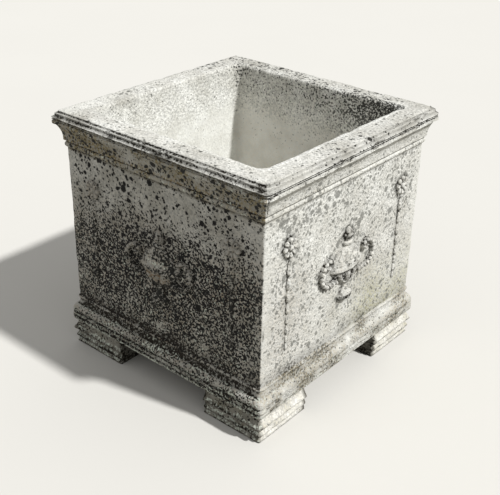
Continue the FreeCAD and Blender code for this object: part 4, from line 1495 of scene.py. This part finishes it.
        # Dirt and painted shade in the plinth's hollows, cavetto and notches, most on the shaded faces
        hollow_share = face.grime_and_shade + (1.0 - face.grime_and_shade) * 0.45 * self.corner_clear
        cavetto = smooth_step(75.5, 78.0, z) * smooth_step(90.0, 87.0, z) * self.shaded * self.corner_clear
        notch = np.max([bell(level, self.notch_half, z) for level in self.plinth_notches], axis=0)
        on_plinth = 0.12 * (0.4 + 0.6 * middling) * (1.0 + 0.7 * fleck) + 0.65 * cavetto + 0.6 * self.shaded * notch
        return self.by_area(
            wall=np.maximum(on_wall, hollows),
            rim=np.where(grooved, grooves, hollows) + steps * (1.0 + 0.8 * fleck),
            cornice=np.where(grooved, grooves, hollows * (0.6 + 0.4 * smooth_step(-120.0, 60.0, along))),
            plinth=hollows * hollow_share + on_plinth,
            inside=0.25 * smooth_step(130.0, 92.0, z))

    def grime_and_shade(self) -> np.ndarray:
        """Grey grime on the shaded faces, partly painted shade, which spares their upright edges, and on the rim
        and the mouth's lip.

        Returns:
            One amount for each point.
        """
        x, y, z, grime_and_shade = self.x, self.y, self.z, self.face.grime_and_shade
        lip = smooth_step(402.0, 412.0, z) * smooth_step(182.0, 174.0, -x) * smooth_step(120.0, 160.0, -x)
        lip = 0.5 * lip * (1.0 + 0.5 * self.fleck)
        off_edge = 0.42 + 0.58 * smooth_step(2.0, 34.0, self.margin + 9.0 * self.fleck)
        off_edge = off_edge + (1.0 - off_edge) * 0.7 * self.overgrown
        to_back = smooth_step(-50.0, 150.0, np.maximum(x, y)) * (1.0 - 0.9 * self.to_near)
        return self.by_area(
            wall=grime_and_shade * off_edge,
            rim=0.46 + 0.36 * to_back + lip,
            cornice=grime_and_shade * 0.85,
            plinth=0.3 + 0.65 * grime_and_shade * self.corner_clear,
            inside=(0.03 + 0.35 * smooth_step(330.0, 400.0, z)) * (0.7 + 1.3 * self.shaded_in) + lip)

    def earth(self) -> np.ndarray:
        """Brown earth under the cornice, low on the walls and on the plinth, and a brown tint lower down the shaded
        side of the cavity.

        Returns:
            One amount for each point.
        """
        z, fleck, face = self.z, self.fleck, self.face
        under_cornice = smooth_step(376.0, 370.0, z) * smooth_step(366.0, 369.0, z)
        return self.by_area(
            wall=face.earth * (0.3 + 1.2 * self.low * (0.6 + 0.6 * self.patch)),
            rim=0.04,
            cornice=face.grime_and_shade * (0.48 + 0.4 * under_cornice + 0.4 * fleck),
            plinth=0.25 + face.earth * 0.3 + 0.3 * fleck,
            inside=0.22 * smooth_step(400.0, 300.0, z) * self.shaded_in)

    def moss(self) -> np.ndarray:
        """A tint of moss low on the walls, towards one edge, and on the plinth and cornice.

        Returns:
            One amount for each point.
        """
        face, fleck = self.face, self.fleck
        low = smooth_step(230.0, 100.0, self.z) * smooth_step(-120.0, 120.0, self.along)
        return self.by_area(
            wall=face.moss * low * (0.7 + 0.7 * self.patch),
            cornice=0.25 * face.grime_and_shade * (0.5 + 0.5 * fleck),
            plinth=face.moss * 0.3 * (0.7 + 0.8 * fleck))

    def crust_and_highlight(self) -> np.ndarray:
        """Pale crusts on the plinth below its bead and on the cornice, most on their arrises, where they are partly
        a painted highlight, and low on the walls and in chips.

        Returns:
            One amount for each point.
        """
        face = self.face
        # Pale on the plinth's arrises below the bead, partly a painted highlight
        ledges = np.clip(1.2 * self.edge + 0.42 + 0.6 * self.fleck, 0.0, 1.2) * smooth_step(88.0, 85.0, self.z)
        return self.by_area(
            wall=face.crust_and_highlight * 0.4 * self.low + 0.5 * self.chipped,
            cornice=0.35 * face.crust_and_highlight * (0.6 + self.edge),
            plinth=face.crust_and_highlight * ledges)

    def marks(self) -> dict[Mark, np.ndarray]:
        """Put every mark together.

        Returns:
            An amount of each mark for each point, ring after ring.
        """
        lichen, pepper = self.lichen()
        amounts = {Mark.LICHEN: lichen, Mark.PEPPER: pepper, Mark.SOIL_AND_SHADE: self.soil_and_shade(), Mark.MOSS: self.moss(),
                   Mark.CRUST_AND_HIGHLIGHT: self.crust_and_highlight(), Mark.GRIME_AND_SHADE: self.grime_and_shade(), Mark.EARTH: self.earth()}
        return {mark: amount.ravel() for mark, amount in amounts.items()}


@dataclass
class BlockFeet:
    """Four block feet with three rough bands on their outer sides, each under a raked mortar joint."""

    inner: float = 93.0
    lips: tuple[float, ...] = (205.5, 207.5, 209.5)
    levels: tuple[float, ...] = (0.0, 10.5, 25.0, 43.0)
    necks: tuple[float, ...] = (202.5, 202.5, 203.5)
    lip_height: float = 3.0
    joint_inner: float = 95.0
    joint_outer: float = 201.5
    joint_top: float = 47.0
    straight: int = 30
    bend: int = 5
    # How far out a point lies on an outer side, and how far out the outer corners are
    outer_side: float = 195.0
    corner_reach: float = 209.0

    def bands(self) -> np.ndarray:
        """The outer side from the ground up: each band rises from its lip and hollows to its neck.

        Returns:
            Outer reach and rise of each ring.
        """
        corners = []
        for lip, neck, low, high in zip(self.lips, self.necks, self.levels, self.levels[1:]):
            start = (lip, low + self.lip_height)
            hollow = upright_arc((neck, high), start, 4)[::-1]
            corners.extend([(lip, low), start, *hollow, (neck, high)])
        line = eased(np.array(corners), np.full(len(corners), 2.4), False)
        return filled_in(line, np.full(len(line), 1.6), False)

    def block(self, outline: np.ndarray, inner: float, rough: float, radius: float, seed: int,
              corner: Corner) -> tuple[np.ndarray, np.ndarray, np.ndarray]:
        """Rings of a squared block whose two outer sides follow an outline.

        Each ring is a rounded square from the inner reach to the outline's, about its own middle on the
        diagonal. Flat rings of 0.55 and 0.1 of the size close its foot and head. Noise moves the sides.

        Args:
            outline: Outer reach and rise from the foot up.
            inner: Reach of the two inner sides.
            rough: Height of the noise in millimetres.
            radius: Radius of the upright corners.
            seed: Sets one block apart from another.
            corner: Where the block stands.

        Returns:
            The rings, and the points that close their foot and head.
        """
        reach, rise = outline.T
        shrink = np.array([0.1, 0.55])
        half = (reach - inner) / 2.0
        middle = (reach + inner) / 2.0
        halves = np.concatenate([half[0] * shrink, half, half[-1] * shrink[::-1]])
        middles = np.concatenate([np.full(2, middle[0]), middle, np.full(2, middle[-1])])
        rises = np.concatenate([np.full(2, rise[0]), rise, np.full(2, rise[-1])])
        corners = np.tile((np.minimum(radius, halves * 0.5))[:, None], (1, 4))
        ring = square_rings(halves, corners, np.zeros_like(halves), self.straight, self.bend)
        signs = np.array(corner.value, dtype=float)
        points = with_rise(ring + middles[:, None, None] * signs, rises)
        out = grid_normals(points, False) * np.array([1.0, 1.0, 0.35])
        sides = np.concatenate([np.zeros(2), np.ones(len(reach)), np.zeros(2)])
        sides[[2, -3]] = 0.3
        bumps = 0.8 * rough_noise(points, 16.0, seed) + 0.45 * rough_noise(points, 6.0, seed + 9) - 0.35
        points = points + out * (rough * bumps * sides[:, None])[..., None]
        points[..., 2] = np.clip(points[..., 2], rise[0], rise[-1])
        ends = [np.array([*(middles[row] * signs), rises[row]]) for row in (0, -1)]
        return points, ends[0], ends[1]

    def dress(self, finish: Material, mortar: Material) -> None:
        """Make the four feet and their joints.

        Args:
            finish: The feet's material.
            mortar: The joints' material.
        """
        bands = self.bands()
        joint = np.array([(self.joint_outer, z) for z in np.linspace(self.levels[-1], self.joint_top, 5)])
        for seed, corner in enumerate(Corner, start=101):
            name = corner.name.lower()
            points, foot, head = self.block(bands, self.inner, 1.35, 3.0, seed, corner)
            skin = stacked(points, foot, head, self.weather(points, corner))
            add_piece(f"foot_{name}_stone", skin, f"foot_{name}", finish)
            points, foot, head = self.block(joint, self.joint_inner, 0.7, 2.0, seed + 40, corner)
            skin = stacked(points, foot, head, {})
            add_piece(f"mortar_bed_{name}_joint", skin, f"mortar_bed_{name}", mortar)

    def weather(self, points: np.ndarray, corner: Corner) -> dict[Mark, np.ndarray]:
        """How much of each mark a foot carries.

        The sides under the shaded faces are darker, partly as painted shade, with pale crusts on the bands' lips
        that are partly a painted highlight. Dirt and painted shade lie in the joints between the bands, soil along
        the ground, and painted shadow with some dirt on the inner sides.

        Args:
            points: The foot's rings.
            corner: Where it stands.

        Returns:
            An amount for each mark.
        """
        x, y, z = np.moveaxis(points, -1, 0)
        nearer, farther = np.sort(np.abs(points[..., :2]), axis=-1).transpose(2, 0, 1)
        to_front, to_left = [smooth_step(2.0, 10.0, -place - self.outer_side) for place in (y, x)]
        shade = np.maximum(to_front, 0.8 * to_left)
        far = smooth_step(0.0, 150.0, y)
        fleck = rough_noise(points, 14.0, 71)
        # Painted shade, partly dirt, in the joints between the bands, most on the shaded sides
        notch = np.max([bell(level, 1.7 + 1.8 * shade, z) for level in self.levels[1:3]], axis=0)
        lip = np.max([bell(level + 5.0, 3.5, z) for level in self.levels[:3]], axis=0)
        groove = (0.25 + 1.3 * shade + 1.0 * far) * notch * (farther > self.outer_side)
        by_corner = shade * smooth_step(60.0, 10.0, self.corner_reach - nearer)
        # Painted shadow, with some dirt, on the inner sides under the planter
        inner_shadow = smooth_step(104.0, 96.0, nearer)
        soil_and_shade = np.clip(groove + 0.25 * shade + 0.45 * smooth_step(2.5, 0.0, z), 0.0, 1.0) * (0.85 + 0.6 * fleck)
        return {
            Mark.LICHEN: 0.1 + 0.15 * shade + 0.1 * far + 0.2 * fleck,
            Mark.SOIL_AND_SHADE: np.maximum(soil_and_shade, inner_shadow * (0.7 + 0.4 * fleck)),
            Mark.PEPPER: 0.12 + (0.52 - 0.3 * lip) * shade + 0.15 * far + 0.25 * by_corner + 0.2 * fleck,
            Mark.MOSS: 0.05 + 0.05 * far + 0.1 * fleck,
            # Pale crust on the bands' lips on the shaded sides, partly a painted highlight where they face up
            Mark.CRUST_AND_HIGHLIGHT: shade * (0.15 + 1.0 * lip) + 0.2 * fleck,
            # Darker on the shaded sides and under the planter, partly painted shade
            Mark.GRIME_AND_SHADE: 0.15 + 0.85 * np.maximum(shade, inner_shadow),
            Mark.EARTH: 0.06 + 0.1 * fleck,
        }


@dataclass
class FootDowels:
    """The steel dowels inside the feet, which keep the frame's own solids."""

    node: str = "foot_dowels"

    def dress(self, finish: Material) -> None:
        """Give the dowels their material.

        Args:
            finish: The steel.
        """
        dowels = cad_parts[self.node]
        dowels.data.materials.clear()
        dowels.data.materials.append(finish)
        LOG.info("%s: kept from the frame", self.node)


@dataclass
class Studio:
    """A plain pale floor, one soft key light from the right, a plain surrounding light, and the camera."""

    floor_half: float = 12.0
    floor_drop: float = 0.0005
    floor_pale: str = "d9d7d1"
    floor_bounce: str = "8a8880"
    key_way: tuple[float, float, float] = (0.622, 0.130, 0.772)
    key_strength: float = 3.55
    key_spread: float = 3.0
    fill: float = 0.46
    surround: float = 0.9
    image_width: float = 500.0
    focal_pixels: float = 890.069
    sensor: float = 36.0
    eye: tuple[float, float, float] = (0.846776, -1.005322, 0.875728)
    eye_right: tuple[float, float, float] = (0.76135643, 0.64804431, 0.01936395)
    eye_down: tuple[float, float, float] = (0.31825835, -0.34755199, -0.8819973)
    eye_forward: tuple[float, float, float] = (-0.56484335, 0.67767705, -0.47085645)

    def pale_to_camera(self, tree: Tree) -> Socket:
        """Tell the light that the camera sees from the light that falls on the object.

        Args:
            tree: The nodes of the floor or the surround.

        Returns:
            1 for what is seen straight, in a gloss or through glass, and 0 for the rest.
        """
        path = add_node(tree, "LightPath")
        seen = add_node(tree, "Math", {
            0: path.outputs["Is Camera Ray"], 1: path.outputs["Is Glossy Ray"]}, operation="MAXIMUM")
        return add_node(tree, "Math", {
            0: seen.outputs[0], 1: path.outputs["Is Transmission Ray"]}, operation="MAXIMUM").outputs[0]

    def add_floor(self) -> None:
        """A wide flat floor of matt painted board, just under the feet."""
        half = self.floor_half
        corners = np.array([[-half, -half], [half, -half], [half, half], [-half, half]])
        mesh = bpy.data.meshes.new("studio_floor")
        mesh.from_pydata(np.column_stack([corners, np.full(4, -self.floor_drop)]).tolist(), [], [[0, 1, 2, 3]])
        material, tree = new_material("matt_painted_board")
        place = add_node(tree, "TexCoord").outputs["Object"]
        cloud = add_node(tree, "TexNoise", {"Vector": place, "Scale": 2.0, "Detail": 2.0}).outputs["Fac"]
        tint = add_node(tree, "MapRange", {"Value": cloud, "To Min": 0.97, "To Max": 1.0}).outputs[0]
        shown = add_node(tree, "VectorMath", {
            0: linear(self.floor_pale)[:3], "Scale": tint}, operation="SCALE").outputs[0]
        colour = add_node(tree, "Mix", {
            SHARE: self.pale_to_camera(tree), UNDER: linear(self.floor_bounce), OVER: shown},
            data_type="RGBA").outputs[BLEND]
        surface = add_node(tree, "BsdfDiffuse", {"Color": colour})
        add_node(tree, "OutputMaterial", {"Surface": surface.outputs[0]})
        mesh.materials.append(material)
        floor = bpy.data.objects.new("studio_floor", mesh)
        bpy.context.scene.collection.objects.link(floor)

    def add_light(self) -> None:
        """A soft key light and an even light from all round."""
        lamp = bpy.data.lights.new("key_light", "SUN")
        lamp.energy = self.key_strength
        lamp.angle = np.radians(self.key_spread)
        key = bpy.data.objects.new("key_light", lamp)
        away = np.array(self.key_way) / np.linalg.norm(self.key_way)
        side = np.cross((0.0, 0.0, 1.0), away)
        side /= np.linalg.norm(side)
        key.matrix_world = Matrix(np.column_stack([side, np.cross(away, side), away]).tolist()).to_4x4()
        bpy.context.scene.collection.objects.link(key)
        world = bpy.data.worlds.new("studio_surround")
        world.use_nodes = True
        tree = world.node_tree
        tree.nodes.clear()
        strength = add_node(tree, "MapRange", {
            "Value": self.pale_to_camera(tree), "To Min": self.fill, "To Max": self.surround}).outputs[0]
        light = add_node(tree, "Background", {"Color": linear("ffffff"), "Strength": strength})
        add_node(tree, "OutputWorld", {"Surface": light.outputs[0]})
        bpy.context.scene.world = world

    def add_camera(self) -> None:
        """The camera where the picture was taken from, with its lens worked out from the picture's width."""
        lens = bpy.data.cameras.new("camera")
        lens.sensor_fit = "HORIZONTAL"
        lens.sensor_width = self.sensor
        lens.lens = self.focal_pixels * self.sensor / self.image_width
        camera = bpy.data.objects.new("camera", lens)
        columns = np.column_stack([self.eye_right, np.negative(self.eye_down), np.negative(self.eye_forward)])
        camera.matrix_world = Matrix.Translation(self.eye) @ Matrix(columns.tolist()).to_4x4()
        bpy.context.scene.collection.objects.link(camera)
        bpy.context.scene.camera = camera

    def dress(self) -> None:
        """Set up the studio."""
        self.add_camera()
        self.add_floor()
        self.add_light()
        bpy.context.scene.view_settings.view_transform = "Standard"


def main() -> None:
    """Build every piece in order."""
    logging.basicConfig(level=logging.INFO, format="%(message)s")
    Studio().dress()
    wall, relief, foot = WALL_STONE.material(), RELIEF_STONE.material(), FOOT_STONE.material()
    urn, rosette, drops = Urn(), Rosette(), HuskDrop()
    PlanterBody(urn, rosette, drops).dress(wall)
    BlockFeet().dress(foot, LimeMortar().material())
    urn.dress(relief)
    rosette.dress(relief)
    drops.dress(relief)
    FootDowels().dress(RolledSteel().material())


if __name__ == "__main__":
    main()
